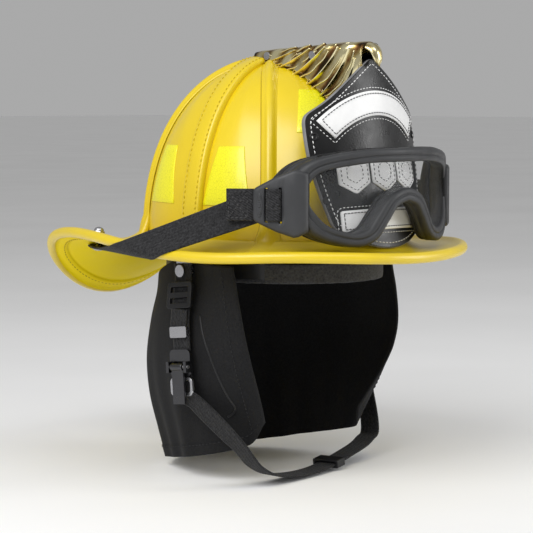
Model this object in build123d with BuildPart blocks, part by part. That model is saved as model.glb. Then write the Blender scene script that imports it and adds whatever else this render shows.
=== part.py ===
from build123d import *
import math
import os

# Traditional fire helmet: combed crown, drooping rear brim, leather front piece,
# goggles, ratchet suspension, neck curtain and chin strap.
# Front is -Y, the wearer's right is -X, +Z is up; the origin is in the wearer's
# head, on the plane where the crown meets the brim. Millimetres.

# Crown
CROWN_HALF_WIDTH = 94.0
CROWN_HALF_LENGTH = 119.0
CROWN_HEIGHT = 160.0
CROWN_POWER = 2.4
CROWN_Y = 5.0
CROWN_WALL = 3.0
CROWN_SHARES = (0.0, 0.14, 0.30, 0.45, 0.58, 0.69, 0.79, 0.87, 0.93, 0.97, 0.99)

# Combs, diagonal ribs and reflective patches
COMB_WIDTH = 20.0
COMB_RISE = 4.5
COMB_START = 11.0
RIB_WIDTH = 9.0
RIB_RISE = 4.0
RIB_ANGLES = {"front": 54.0, "rear": 130.0}
PATCH_RISE = 0.6
# Ellipse angle from the front, lower and upper height, lower and upper width.
PATCHES = ((33, 100, 134, 30, 20), (74, 42, 89, 45, 24), (112, 42, 89, 42, 22), (151, 42, 89, 42, 22))

# Brim: right half of its edge from the front to the rear, and its root
BRIM_EDGE = (
    (0, -162, 3), (-62, -149, 5), (-108, -106, 6), (-132, -52, 4), (-139, 0, 6), (-136, 48, 11),
    (-127, 95, 15), (-114, 140, 14), (-101, 170, 6), (-84, 188, -8), (-50, 200, -32), (0, 205, -45),
)
BRIM_ROOT_Z = 14.0
BRIM_ROOT_GAP = 2.1
BRIM_PLANE_Z = 1.0
BRIM_FLARE_POWER = 5.0
BRIM_THICKNESS = 4.0
BRIM_SECTIONS = 24
BRIM_SHARES = (0.0, 0.05, 0.12, 0.22, 0.36, 0.55, 0.78, 1.0)
BEAD_RADIUS = 4.5
FIT_GAP = 0.2

# Front piece, on a plane that leans back
SHIELD_FOOT = (0.0, -128.0, 8.5)
SHIELD_LEAN = 8.8
SHIELD_RADIUS = 127.0
SHIELD_THICKNESS = 3.0
SHIELD_HEIGHT = 153.5
SHIELD_HALF_WIDTH = 67.0
SHIELD_SHOULDER = 105.0

# Goggles
GOGGLE_RADIUS = 135.0
GOGGLE_FRONT_Y = -146.0
GOGGLE_DEPTH = 13.0
GOGGLE_RIM = 11.0
GOGGLE_OUTLINE = (
    (-8, 89), (-45, 88), (-80, 81), (-94, 66), (-96, 50), (-90, 34), (-76, 19), (-52, 12), (-34, 17), (-22, 31),
    (-13, 42), (-3, 46),
)
LENS_THICKNESS = 2.2
ARM_THICKNESS = 5.0
STRAP_WIDTH = 25.0
STRAP_THICKNESS = 1.8

GASKET_DEPTH = 5.0
SEWN_END_END = 50.0
STRAP_CROSSING = 0.4525
STRAP_SCREW_RADIUS = 2.5
STRAP_SCREW_PLACE = (0.735, 0.52)
# Under the brim: rear outer and front inner corner, each as (along the brim, share of its width
# from the root), and how far the strap hangs clear.
STRAP_UNDER = (
    ((0.506, 0.90), (0.469, 0.75), 3.2), ((0.560, 0.90), (0.540, 0.55), 1.6),
    ((0.612, 0.82), (0.612, 0.55), 1.2), ((0.668, 0.71), (0.690, 0.52), 1.2),
    ((0.725, 0.60), (0.745, 0.44), 1.2),
)

# Suspension
FOAM_THICKNESS = 9.5
BAND_HALF_WIDTH = 80.0
BAND_HALF_LENGTH = 97.0
BAND_THICKNESS = 2.0
BAND_LOW = -18.0
BAND_HIGH = 14.0
PAD_THICKNESS = 7.0
BAND_END_X = 47.0
RATCHET_Y = 87.0
RATCHET_Z = -6.0
PINION_RADIUS = 7.0
SHAFT_RADIUS = 4.0
KNOB_RADIUS = 14.0
RACK_LENGTH = 66.0
RACK_HEIGHT = 5.0

# Neck curtain
CURTAIN_THICKNESS = 3.0
CURTAIN_HALF_WIDTH = 100.0
CURTAIN_HALF_LENGTH = 110.0
CURTAIN_TURN = 122.0
CURTAIN_SECTIONS = 14
CURTAIN_TOP_Z = -5.0
CURTAIN_NAPE_DIP = 17.0
CURTAIN_NAPE_TURNS = (42.0, 75.0)
CURTAIN_REAR_Z = -182.0
CURTAIN_FRONT_Z = -150.0
# Share of the way down, and how far the cloth stands out there.
CURTAIN_SPREAD = ((0.0, 0.90), (0.1, 0.915), (0.25, 0.965), (0.45, 1.0), (0.65, 0.975), (0.85, 0.90), (1.0, 0.84))

# Chin strap
WEB_WIDTH = 19.0
WEB_THICKNESS = 2.0
ANCHOR = Vector(-98, 12, -12)
ANCHOR_PIN_RADIUS = 3.0
CHIN_UPPER = ((-98, 12, -6), (-98, 11, -20), (-105, 7, -52), (-106.5, 2, -98))
CHIN_LOWER = (
    (-106.0, 1.6, -101.5), (-106.2, -1, -112), (-103.5, -12, -120), (-95, -46, -148), (-79, -52, -168), (-51, -51, -179),
    (-4, -47, -182), (46, -39, -176), (80, -32, -169), (95, -26, -156), (106.5, -2, -98), (105, 6, -55),
    (98, 11, -20), (98, 12, -6),
)
SLIDE_RUN = 6


# Crown ------------------------------------------------------------------------


def crown_factor(z):
    """Share of the base ellipse that the crown still has at height z."""
    return math.sqrt(1 - (max(z, 0.0) / CROWN_HEIGHT) ** CROWN_POWER)


def crown_body(offset):
    """Solid of the crown's form, grown or shrunk by an offset."""
    height = CROWN_HEIGHT + offset
    with BuildPart() as body:
        for share in CROWN_SHARES:
            factor = math.sqrt(1 - share**CROWN_POWER)
            with BuildSketch(Plane.XY.offset(share * height)):
                with Locations((0, CROWN_Y)):
                    Ellipse(
                        (CROWN_HALF_WIDTH + offset) * factor,
                        (CROWN_HALF_LENGTH + offset) * factor,
                    )
        loft()
    return body.part


def crown_point(angle, z, offset=0.0):
    """Point on the crown at an ellipse angle from the front, on the right side."""
    turn = math.radians(angle)
    factor = crown_factor(z)
    return Vector(
        -(CROWN_HALF_WIDTH * factor + offset) * math.sin(turn),
        CROWN_Y - (CROWN_HALF_LENGTH * factor + offset) * math.cos(turn),
        z,
    )


def crown_normal(angle):
    """Level outward direction of the crown's wall at an ellipse angle."""
    turn = math.radians(angle)
    across = Vector(-math.sin(turn) / CROWN_HALF_WIDTH, -math.cos(turn) / CROWN_HALF_LENGTH, 0)
    return across.normalized()


os.makedirs("parts", exist_ok=True)
crown_outside = crown_body(0)

with BuildPart() as crown_shell:
    add(crown_outside)
    add(crown_body(-CROWN_WALL), mode=Mode.SUBTRACT)
crown_shell.part.label = "crown_shell"
export_step(crown_shell.part, "parts/crown_shell.step")

# Foam impact cap inside the crown
with BuildPart() as impact_cap:
    add(crown_body(-CROWN_WALL - FIT_GAP))
    add(crown_body(-CROWN_WALL - FIT_GAP - FOAM_THICKNESS), mode=Mode.SUBTRACT)
    with Locations((0, CROWN_Y, 8)):
        Box(300, 300, 40, align=(Align.CENTER, Align.CENTER, Align.MAX), mode=Mode.SUBTRACT)
impact_cap.part.label = "impact_cap"
export_step(impact_cap.part, "parts/impact_cap.step")

# Four sewn combs from near the apex down to the brim
comb_form = crown_body(COMB_RISE)
COMB_FOOT = BRIM_ROOT_Z + 4
for name, turn in {"front": 0, "right": 270, "rear": 180, "left": 90}.items():
    with BuildPart() as comb:
        with BuildSketch(Plane.XY.offset(COMB_FOOT)):
            with Locations((0, CROWN_Y)):
                with PolarLocations(COMB_START, 1, turn - 90):
                    Rectangle(150, COMB_WIDTH, align=(Align.MIN, Align.CENTER))
        extrude(amount=200)
        add(comb_form, mode=Mode.INTERSECT)
        add(crown_outside, mode=Mode.SUBTRACT)
    comb.part.label = f"comb_{name}"
    export_step(comb.part, f"parts/comb_{name}.step")

# Small cap over the apex where the combs meet
with BuildPart() as comb_cap:
    with BuildSketch(Plane.XY.offset(CROWN_HEIGHT * 0.5)):
        with Locations((0, CROWN_Y)):
            RectangleRounded(2 * COMB_START - 1, 2 * COMB_START - 1, 4)
    extrude(amount=200)
    add(comb_form, mode=Mode.INTERSECT)
    add(crown_outside, mode=Mode.SUBTRACT)
comb_cap.part.label = "comb_cap"
export_step(comb_cap.part, "parts/comb_cap.step")

# Narrow ribs moulded between the combs
rib_form = crown_body(RIB_RISE)
for place, angle in RIB_ANGLES.items():
    foot = crown_point(angle, 0)
    heading = math.degrees(math.atan2(foot.Y - CROWN_Y, foot.X))
    for side, bearing in {"right": heading, "left": 180 - heading}.items():
        with BuildPart() as rib:
            with BuildSketch(Plane.XY.offset(COMB_FOOT)):
                with Locations((0, CROWN_Y)):
                    with PolarLocations(26, 1, bearing):
                        Rectangle(150, RIB_WIDTH, align=(Align.MIN, Align.CENTER))
            extrude(amount=200)
            add(rib_form, mode=Mode.INTERSECT)
            add(crown_outside, mode=Mode.SUBTRACT)
        rib.part.label = f"rib_{place}_{side}"
        export_step(rib.part, f"parts/rib_{place}_{side}.step")

# Reflective patches, one in each of the eight panels
patch_form = crown_body(PATCH_RISE)
with BuildPart() as reflective_patches:
    for angle, low, high, low_width, high_width in PATCHES:
        outward = crown_normal(angle)
        along = Vector(outward.Y, -outward.X, 0)
        middle = crown_point(angle, 0)
        side_plane = Plane(origin=(middle.X, middle.Y, 0), x_dir=-along, z_dir=outward)
        with BuildSketch(side_plane.offset(-75)):
            with BuildLine():
                Polyline(
                    (-low_width / 2, low), (low_width / 2, low),
                    (high_width / 2, high), (-high_width / 2, high), close=True,
                )
            make_face()
        extrude(amount=90)
    mirror(about=Plane.YZ)
    add(patch_form, mode=Mode.INTERSECT)
    add(crown_outside, mode=Mode.SUBTRACT)
reflective_patches.part.label = "reflective_patches"
export_step(reflective_patches.part, "parts/reflective_patches.step")


# Brim -------------------------------------------------------------------------


def mirrored(point):
    """The same point on the other side of the helmet."""
    x, y, z = point
    return Vector(-x, y, z)


with BuildLine() as brim_line:
    Spline(*BRIM_EDGE, *[mirrored(point) for point in BRIM_EDGE[-2:0:-1]], periodic=True)
brim_edge = brim_line.edges()[0]


def brim_station(along):
    """Root and edge of the brim, from the front at 0 by the right side to the rear at 1."""
    folded = abs(along) if along <= 1 else 2 - along
    edge = brim_edge.position_at(folded / 2)
    root = crown_point(180 * folded, 0, BRIM_ROOT_GAP)
    if folded != along:
        edge = mirrored(edge)
        root = mirrored(root)
    return root, edge


def brim_height(share, edge_z):
    """Height of the brim's middle surface at a share of the way from root to edge."""
    flare = (BRIM_ROOT_Z - BRIM_PLANE_Z) * (1 - share) ** BRIM_FLARE_POWER
    return BRIM_PLANE_Z + (edge_z - BRIM_PLANE_Z) * share + flare


def brim_point(along, share, drop=0.0):
    """Point under or on the brim's middle surface."""
    root, edge = brim_station(along)
    level = root + (edge - root) * share
    return Vector(level.X, level.Y, brim_height(share, edge.Z) - drop)


with BuildPart() as brim:
    for step in range(-1, BRIM_SECTIONS + 2):
        root, edge = brim_station(step / BRIM_SECTIONS)
        span = Vector(edge.X - root.X, edge.Y - root.Y, 0)
        reach = 1 - (BEAD_RADIUS + FIT_GAP) / span.length
        top, low = [], []
        for part_way in BRIM_SHARES:
            share = part_way * reach
            rise = brim_height(share + 0.001, edge.Z) - brim_height(share - 0.001, edge.Z)
            slope = rise / (0.002 * span.length)
            half = BRIM_THICKNESS / 2 / math.hypot(1, slope)
            z = brim_height(share, edge.Z)
            top.append((share * span.length - slope * half, z + half))
            low.append((share * span.length + slope * half, z - half))
        section = Plane(origin=(root.X, root.Y, 0), x_dir=span, z_dir=span.cross(Vector(0, 0, 1)))
        with BuildSketch(section):
            with BuildLine():
                Spline(*top)
                Line(top[-1], low[-1])
                Spline(*low)
                Line(low[0], top[0])
            make_face()
    loft()
    split(bisect_by=Plane.YZ, keep=Keep.BOTTOM)
    mirror(about=Plane.YZ)
brim.part.label = "brim"
export_step(brim.part, "parts/brim.step")

# Rolled edge of the brim
with BuildPart() as brim_bead:
    for step in range(-1, BRIM_SECTIONS + 2):
        share = (step / BRIM_SECTIONS / 2) % 1
        across = Plane(
            origin=brim_edge.position_at(share), x_dir=(0, 0, 1), z_dir=brim_edge.tangent_at(share)
        )
        with BuildSketch(across):
            Circle(BEAD_RADIUS)
    loft()
    split(bisect_by=Plane.YZ, keep=Keep.BOTTOM)
    mirror(about=Plane.YZ)
brim_bead.part.label = "brim_bead"
export_step(brim_bead.part, "parts/brim_bead.step")


# Front piece ------------------------------------------------------------------

lean = math.radians(SHIELD_LEAN)
shield_plane = Plane(
    origin=SHIELD_FOOT, x_dir=(1, 0, 0), z_dir=(0, -math.cos(lean), math.sin(lean))
)
# Looks along the shield's height, with its own x across and y out of the front.
shield_section = Plane(
    origin=SHIELD_FOOT, x_dir=(-1, 0, 0), z_dir=(0, math.sin(lean), math.cos(lean))
)


def bend_to_shield(gap, thickness):
    """Keep only a curved sheet of what is built so far, a gap out from the backing."""
    with BuildSketch(shield_section.offset(-20)) as section:
        with Locations((0, -SHIELD_RADIUS)):
            Circle(SHIELD_RADIUS + gap + thickness)
            Circle(SHIELD_RADIUS + gap, mode=Mode.SUBTRACT)
    extrude(section.sketch, amount=SHIELD_HEIGHT + 40, mode=Mode.INTERSECT)


with BuildPart() as front_shield:
    with BuildSketch(shield_plane.offset(-60)) as outline:
        with BuildLine():
            right = Spline(
                (-6, SHIELD_HEIGHT - 3), (-36, SHIELD_HEIGHT - 24), (-SHIELD_HALF_WIDTH + 2, SHIELD_SHOULDER + 6),
            )
            shoulder = Spline(
                right @ 1, (-SHIELD_HALF_WIDTH, SHIELD_SHOULDER), (-SHIELD_HALF_WIDTH + 1, SHIELD_SHOULDER - 30),
                (-SHIELD_HALF_WIDTH + 13, 20),
            )
            foot = ThreePointArc(shoulder @ 1, (0, 0), (SHIELD_HALF_WIDTH - 13, 20))
            mirror(right, about=Plane.YZ)
            mirror(shoulder, about=Plane.YZ)
            ThreePointArc((-6, SHIELD_HEIGHT - 3), (0, SHIELD_HEIGHT), (6, SHIELD_HEIGHT - 3))
        make_face()
    extrude(amount=70)
    bend_to_shield(-SHIELD_THICKNESS, SHIELD_THICKNESS)
front_shield.part.label = "front_shield"
export_step(front_shield.part, "parts/front_shield.step")

# Arched banner at the top: a blank white strip
ARCH_CENTRE = (0, 38)
ARCH_RADIUS = 69.0
ARCH_HEIGHT = 20.0
ARCH_HALF_ANGLE = 41.0

with BuildPart() as shield_top_banner:
    with BuildSketch(shield_plane.offset(-60)):
        with BuildLine():
            inner = CenterArc(ARCH_CENTRE, ARCH_RADIUS, 90 + ARCH_HALF_ANGLE, -2 * ARCH_HALF_ANGLE)
            outer = CenterArc(
                ARCH_CENTRE, ARCH_RADIUS + ARCH_HEIGHT, 90 + ARCH_HALF_ANGLE, -2 * ARCH_HALF_ANGLE
            )
            Line(inner @ 0, outer @ 0)
            Line(inner @ 1, outer @ 1)
        make_face()
    extrude(amount=70)
    bend_to_shield(FIT_GAP, 1.2)
shield_top_banner.part.label = "shield_top_banner"
export_step(shield_top_banner.part, "parts/shield_top_banner.step")

# Lower banner and the row of blank plates between the two banners
with BuildPart() as shield_bottom_banner:
    with BuildSketch(shield_plane.offset(-60)):
        with Locations((0, 24)):
            RectangleRounded(96, 17, 2)
    extrude(amount=70)
    bend_to_shield(FIT_GAP, 1.2)
shield_bottom_banner.part.label = "shield_bottom_banner"
export_step(shield_bottom_banner.part, "parts/shield_bottom_banner.step")

with BuildPart() as shield_plates:
    with BuildSketch(shield_plane.offset(-60)):
        with GridLocations(32, 1, 3, 1):
            with Locations((0, 62)):
                RegularPolygon(17, 6, rotation=30)
    extrude(amount=70)
    bend_to_shield(FIT_GAP, 1.2)
shield_plates.part.label = "shield_plates"
export_step(shield_plates.part, "parts/shield_plates.step")

# Rivets that hold the front piece's layers
with BuildPart() as shield_rivets:
    with BuildSketch(shield_plane.offset(-60)):
        for height, reach in ((93, 61.5), (42, 57)):
            with GridLocations(2 * reach, 1, 2, 1):
                with Locations((0, height)):
                    Circle(2.6)
    extrude(amount=70)
    bend_to_shield(FIT_GAP, 1.0)
shield_rivets.part.label = "shield_rivets"
export_step(shield_rivets.part, "parts/shield_rivets.step")

# Cast brass holder: it straddles the front comb and hooks over the front piece
HOLDER_HALF_WIDTH = 17.0
holder_profile = (
    (8, 167), (-30, 168), (-70, 171), (-104, 173), (-111, 171), (-114, 164), (-113, 156), (-108, 156),
    (-107, 163.5), (-100, 163.5), (-100.5, 150), (-94, 138), (-84, 124), (-50, 110), (8, 110),
)
with BuildPart() as front_holder:
    with BuildSketch(Plane.YZ.offset(-HOLDER_HALF_WIDTH)):
        with BuildLine():
            Polyline(*holder_profile, close=True)
        make_face()
    extrude(amount=2 * HOLDER_HALF_WIDTH)
    with BuildSketch(Plane.XY.offset(100)):
        with BuildLine():
            Polyline((-17, 12), (-17, -70), (-8, -116), (8, -116), (17, -70), (17, 12), close=True)
        make_face()
    extrude(amount=90, mode=Mode.INTERSECT)
    add(crown_body(COMB_RISE + FIT_GAP), mode=Mode.SUBTRACT)
front_holder.part.label = "front_holder"
export_step(front_holder.part, "parts/front_holder.step")

with BuildPart() as holder_screws:
    for y in (-8.0, -58.0):
        for side in (-1, 1):
            with BuildSketch(Plane(origin=(side * (HOLDER_HALF_WIDTH + FIT_GAP), y, 163), z_dir=(side, 0, 0))):
                Circle(3.2)
            extrude(amount=2.0)
holder_screws.part.label = "holder_screws"
export_step(holder_screws.part, "parts/holder_screws.step")


# Goggles ----------------------------------------------------------------------

goggle_centre_y = GOGGLE_FRONT_Y + GOGGLE_RADIUS


def bend_to_goggles(outer, inner):
    """Keep only a curved wall of what is built so far, between two radii."""
    with BuildSketch(Plane.XY.offset(-20)) as section:
        with Locations((0, goggle_centre_y)):
            Circle(outer)
            Circle(inner, mode=Mode.SUBTRACT)
    extrude(section.sketch, amount=140, mode=Mode.INTERSECT)


def goggle_outline(inset):
    """Front view of the frame, drawn in by an inset: brow, two lobes and the nose arch."""
    shifted = []
    for index, (x, z) in enumerate(GOGGLE_OUTLINE):
        before_x, before_z = GOGGLE_OUTLINE[max(index - 1, 0)]
        after_x, after_z = GOGGLE_OUTLINE[min(index + 1, len(GOGGLE_OUTLINE) - 1)]
        run_x, run_z = after_x - before_x, after_z - before_z
        if index in (0, len(GOGGLE_OUTLINE) - 1):
            run_z = 0
        length = math.hypot(run_x, run_z)
        shifted.append((x - run_z / length * inset, z + run_x / length * inset))
    half = Spline(*shifted, tangents=[(-1, 0), (1, 0)])
    mirror(half, about=Plane.YZ)
    Line(half @ 0, (-(half @ 0).X, (half @ 0).Y))
    Line(half @ 1, (-(half @ 1).X, (half @ 1).Y))


goggle_plane = Plane(origin=(0, 0, 0), x_dir=(1, 0, 0), z_dir=(0, -1, 0))


def goggle_block(inset, mode=Mode.ADD):
    """Straight block of the frame's outline, drawn in by an inset."""
    with BuildSketch(goggle_plane) as outline:
        with BuildLine() as line:
            goggle_outline(inset)
        make_face(line.edges())
    extrude(outline.sketch, amount=180, mode=mode)


lens_outer = GOGGLE_RADIUS - 3.0
with BuildPart() as lens_seat:
    goggle_block(GOGGLE_RIM - 2.5)
    bend_to_goggles(lens_outer + FIT_GAP, lens_outer - LENS_THICKNESS - FIT_GAP)
with BuildPart() as goggle_frame:
    goggle_block(0)
    goggle_block(GOGGLE_RIM, Mode.SUBTRACT)
    bend_to_goggles(GOGGLE_RADIUS, GOGGLE_RADIUS - GOGGLE_DEPTH)
    add(lens_seat.part, mode=Mode.SUBTRACT)
goggle_frame.part.label = "goggle_frame"
export_step(goggle_frame.part, "parts/goggle_frame.step")

with BuildPart() as goggle_lens:
    goggle_block(GOGGLE_RIM - 2.2)
    bend_to_goggles(lens_outer, lens_outer - LENS_THICKNESS)
goggle_lens.part.label = "goggle_lens"
export_step(goggle_lens.part, "parts/goggle_lens.step")

# Foam that seals the back of the frame
with BuildPart() as goggle_gasket:
    goggle_block(0)
    goggle_block(GOGGLE_RIM, Mode.SUBTRACT)
    bend_to_goggles(GOGGLE_RADIUS - GOGGLE_DEPTH - FIT_GAP, GOGGLE_RADIUS - GOGGLE_DEPTH - GASKET_DEPTH)
goggle_gasket.part.label = "goggle_gasket"
export_step(goggle_gasket.part, "parts/goggle_gasket.step")

# Side arms with two slots; the strap's sewn end loops round the bar between them.
# In arm_plan x runs back along the arm, y outward, and z is up.
ARM_START = (-97.5, -104.0)
ARM_HEADING = (-15.0, 28.0)
ARM_BAR = (7.0, 16.0)
ARM_MIDDLE_Z = 45.5
arm_plan = Plane(origin=(*ARM_START, ARM_MIDDLE_Z), x_dir=(*ARM_HEADING, 0), z_dir=(0, 0, 1))
arm_face = Plane(origin=(*ARM_START, ARM_MIDDLE_Z), x_dir=(*ARM_HEADING, 0), z_dir=arm_plan.y_dir)
slot_half_height = STRAP_WIDTH / 2 + 1.5


def arm_point(along, outward, up=0.0):
    """Point given along the right arm, outward from its middle, and up from its middle."""
    return arm_plan.from_local_coords(Vector(along, outward, up))


with BuildPart() as goggle_arm_right:
    with BuildSketch(arm_face.offset(-ARM_THICKNESS / 2)):
        with BuildLine():
            # Seen from outside the plane's y runs down.
            Polyline((-6, -27), (10, -22), (28, -13), (28, 13), (10, 23), (-6, 29), close=True)
        make_face()
        for bar_edge, outer_edge in ((ARM_BAR[0], ARM_BAR[0] - 2.6), (ARM_BAR[1], ARM_BAR[1] + 2.6)):
            with Locations(((bar_edge + outer_edge) / 2, 0)):
                Rectangle(2.6, 2 * slot_half_height, mode=Mode.SUBTRACT)
    extrude(amount=ARM_THICKNESS)
    add(goggle_frame.part, mode=Mode.SUBTRACT)
with BuildPart() as strap_end_right:
    with BuildSketch(arm_plan.offset(-STRAP_WIDTH / 2)):
        inner_half = ARM_THICKNESS / 2 + FIT_GAP
        outer_half = inner_half + STRAP_THICKNESS
        bar_middle = sum(ARM_BAR) / 2
        bar_length = ARM_BAR[1] - ARM_BAR[0] + 2 * FIT_GAP
        with Locations((bar_middle, 0)):
            Rectangle(bar_length + 2 * STRAP_THICKNESS, 2 * outer_half)
            Rectangle(bar_length, 2 * inner_half, mode=Mode.SUBTRACT)
        with Locations((ARM_BAR[1], -inner_half)):
            Rectangle(
                SEWN_END_END - ARM_BAR[1], 2 * STRAP_THICKNESS, align=(Align.MIN, Align.MAX),
            )
    extrude(amount=STRAP_WIDTH)
for name, right in {"goggle_arm": goggle_arm_right, "strap_end": strap_end_right}.items():
    right.part.label = f"{name}_right"
    export_step(right.part, f"parts/{name}_right.step")
    with BuildPart() as left_twin:
        add(right.part)
        mirror(about=Plane.YZ, mode=Mode.REPLACE)
    left_twin.part.label = f"{name}_left"
    export_step(left_twin.part, f"parts/{name}_left.step")


# Elastic strap: over the rolled edge and along the underside to a screw ------------


def ribbon(stations, sheared=False):
    """Flat band through stations of centre, width direction, width and thickness."""
    centres = [Vector(*station[0]) for station in stations]
    with BuildPart() as band:
        for index, (centre, across, width, thickness) in enumerate(stations):
            before = centres[max(index - 1, 0)]
            after = centres[min(index + 1, len(centres) - 1)]
            heading = (after - before).normalized()
            side = Vector(*across).normalized()
            if sheared:
                heading = (heading - side * heading.dot(side)).normalized()
            else:
                side = (side - heading * side.dot(heading)).normalized()
            with BuildSketch(Plane(origin=centre, x_dir=side, z_dir=heading)):
                Rectangle(width, thickness)
        loft(ruled=True)
    return band.part


back_face = -ARM_THICKNESS / 2 - FIT_GAP - STRAP_THICKNESS
bead_middle = brim_edge.position_at(STRAP_CROSSING / 2)
strap_over = [
    (arm_point(SEWN_END_END + 0.4, back_face), (0, 0, 1), STRAP_WIDTH, STRAP_THICKNESS),
    (arm_point(SEWN_END_END + 5, back_face), (0, 0, 1), STRAP_WIDTH, STRAP_THICKNESS),
    (bead_middle + Vector(6, -34, 20), (0, 0.6, 1), STRAP_WIDTH, STRAP_THICKNESS),
]
# Round the rolled edge on the flats of an octagon that clears it
wrap_radius = (BEAD_RADIUS + STRAP_THICKNESS / 2 + 0.5) / math.cos(math.radians(22.5))
for corner in range(5):
    turn = math.radians(90 + 22.5 + 45 * corner)
    lean_out = Vector(wrap_radius * math.cos(turn), -10 + 4 * corner, wrap_radius * math.sin(turn))
    strap_over.append((bead_middle + lean_out, (0, 1, 0.1), STRAP_WIDTH, STRAP_THICKNESS))
under_face = BRIM_THICKNESS / 2 + STRAP_THICKNESS / 2
last_over = Vector(*strap_over[-1][0])
strap_under = []
for outer_corner, inner_corner, clear in STRAP_UNDER:
    outer = brim_point(*outer_corner, under_face + clear)
    inner = brim_point(*inner_corner, under_face + clear)
    strap_under.append(((outer + inner) / 2, outer - inner, (outer - inner).length, STRAP_THICKNESS))
meeting = last_over + (strap_under[0][0] - last_over).normalized() * 0.5
strap_under.insert(0, (meeting, strap_over[-1][1], STRAP_WIDTH, STRAP_THICKNESS))
screw_top = brim_point(*STRAP_SCREW_PLACE, -BRIM_THICKNESS / 2)
screw_plane = Plane(origin=screw_top, z_dir=(0.18, 0.1, 1))

goggle_strap_right = ribbon(strap_over)
strap_tail_right = ribbon(strap_under, sheared=True)
with BuildPart() as holed_brim:
    add(brim.part)
    for side in (1, -1):
        centre = Vector(side * screw_top.X, screw_top.Y, screw_top.Z)
        drilling = Plane(origin=centre, z_dir=(side * 0.18, 0.1, 1))
        with BuildSketch(drilling.offset(-15)):
            Circle(STRAP_SCREW_RADIUS + 0.1)
        extrude(amount=30, mode=Mode.SUBTRACT)
holed_brim.part.label = "brim"
export_step(holed_brim.part, "parts/brim.step")
with BuildPart() as holed_tail:
    add(strap_tail_right)
    with BuildSketch(screw_plane.offset(-25)):
        Circle(STRAP_SCREW_RADIUS + 0.1)
    extrude(amount=30, mode=Mode.SUBTRACT)
with BuildPart() as nut_right:
    with BuildSketch(screw_plane.offset(2.2)):
        RegularPolygon(5.2, 6)
    extrude(amount=4.5)
    with BuildSketch(screw_plane.offset(6.7)):
        Circle(4.2)
    extrude(amount=3.4, taper=25)
with BuildPart() as washers_right:
    with BuildSketch(screw_plane.offset(1.0)):
        Circle(6.5)
        Circle(STRAP_SCREW_RADIUS + 0.1, mode=Mode.SUBTRACT)
    extrude(amount=1.0)
with BuildPart() as screw_right:
    with BuildSketch(screw_plane.offset(-14)):
        Circle(STRAP_SCREW_RADIUS)
    extrude(amount=16.1)
    with BuildSketch(screw_plane.offset(-14)):
        Circle(5.5)
    extrude(amount=-2.4)
for name, right in {
    "acorn_nuts": nut_right.part, "strap_washers": washers_right.part, "strap_screws": screw_right.part,
}.items():
    with BuildPart() as pair:
        add(right)
        mirror(about=Plane.YZ)
    pair.part.label = name
    export_step(pair.part, f"parts/{name}.step")
for name, right in {"goggle_strap": goggle_strap_right, "strap_tail": holed_tail.part}.items():
    with BuildPart() as right_copy:
        add(right)
    right_copy.part.label = f"{name}_right"
    export_step(right_copy.part, f"parts/{name}_right.step")
    with BuildPart() as left_copy:
        add(right)
        mirror(about=Plane.YZ, mode=Mode.REPLACE)
    left_copy.part.label = f"{name}_left"
    export_step(left_copy.part, f"parts/{name}_left.step")


# Suspension -------------------------------------------------------------------

band_low_plane = Plane.XY.offset(BAND_LOW)
with BuildPart() as headband:
    with BuildSketch(band_low_plane):
        with Locations((0, CROWN_Y)):
            Ellipse(BAND_HALF_WIDTH, BAND_HALF_LENGTH)
            Ellipse(BAND_HALF_WIDTH - BAND_THICKNESS, BAND_HALF_LENGTH - BAND_THICKNESS, mode=Mode.SUBTRACT)
        with Locations((0, 100)):
            Rectangle(2 * BAND_END_X, 80, mode=Mode.SUBTRACT)
    extrude(amount=BAND_HIGH - BAND_LOW)
headband.part.label = "headband"
export_step(headband.part, "parts/headband.step")

with BuildPart() as brow_pad:
    with BuildSketch(Plane.XY.offset(BAND_LOW - 6)):
        pad_x = BAND_HALF_WIDTH - BAND_THICKNESS - FIT_GAP
        pad_y = BAND_HALF_LENGTH - BAND_THICKNESS - FIT_GAP
        with Locations((0, CROWN_Y)):
            Ellipse(pad_x, pad_y)
            Ellipse(pad_x - PAD_THICKNESS, pad_y - PAD_THICKNESS, mode=Mode.SUBTRACT)
        with Locations((0, 80)):
            Rectangle(300, 160, mode=Mode.SUBTRACT)
    extrude(amount=BAND_HIGH - BAND_LOW)
brow_pad.part.label = "brow_pad"
export_step(brow_pad.part, "parts/brow_pad.step")

# Liner fabric that shows below the front brim
with BuildPart() as brow_liner:
    with BuildSketch(Plane.XY.offset(-23)):
        with Locations((0, CROWN_Y)):
            Ellipse(BAND_HALF_WIDTH + 5, BAND_HALF_LENGTH + 7)
            Ellipse(BAND_HALF_WIDTH + 1, BAND_HALF_LENGTH + 3, mode=Mode.SUBTRACT)
        with Locations((0, 60)):
            Rectangle(300, 220, mode=Mode.SUBTRACT)
    extrude(amount=22)
brow_liner.part.label = "brow_liner"
export_step(brow_liner.part, "parts/brow_liner.step")

with BuildPart() as ratchet_housing:
    with Locations((0, RATCHET_Y, RATCHET_Z)):
        Box(66, 13, 32)
        Box(70, 7, 27, mode=Mode.SUBTRACT)
    with BuildSketch(Plane(origin=(0, RATCHET_Y, RATCHET_Z), z_dir=(0, 1, 0))):
        Circle(SHAFT_RADIUS + 0.06)
    extrude(amount=20, mode=Mode.SUBTRACT)
ratchet_housing.part.label = "ratchet_housing"
export_step(ratchet_housing.part, "parts/ratchet_housing.step")

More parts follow.
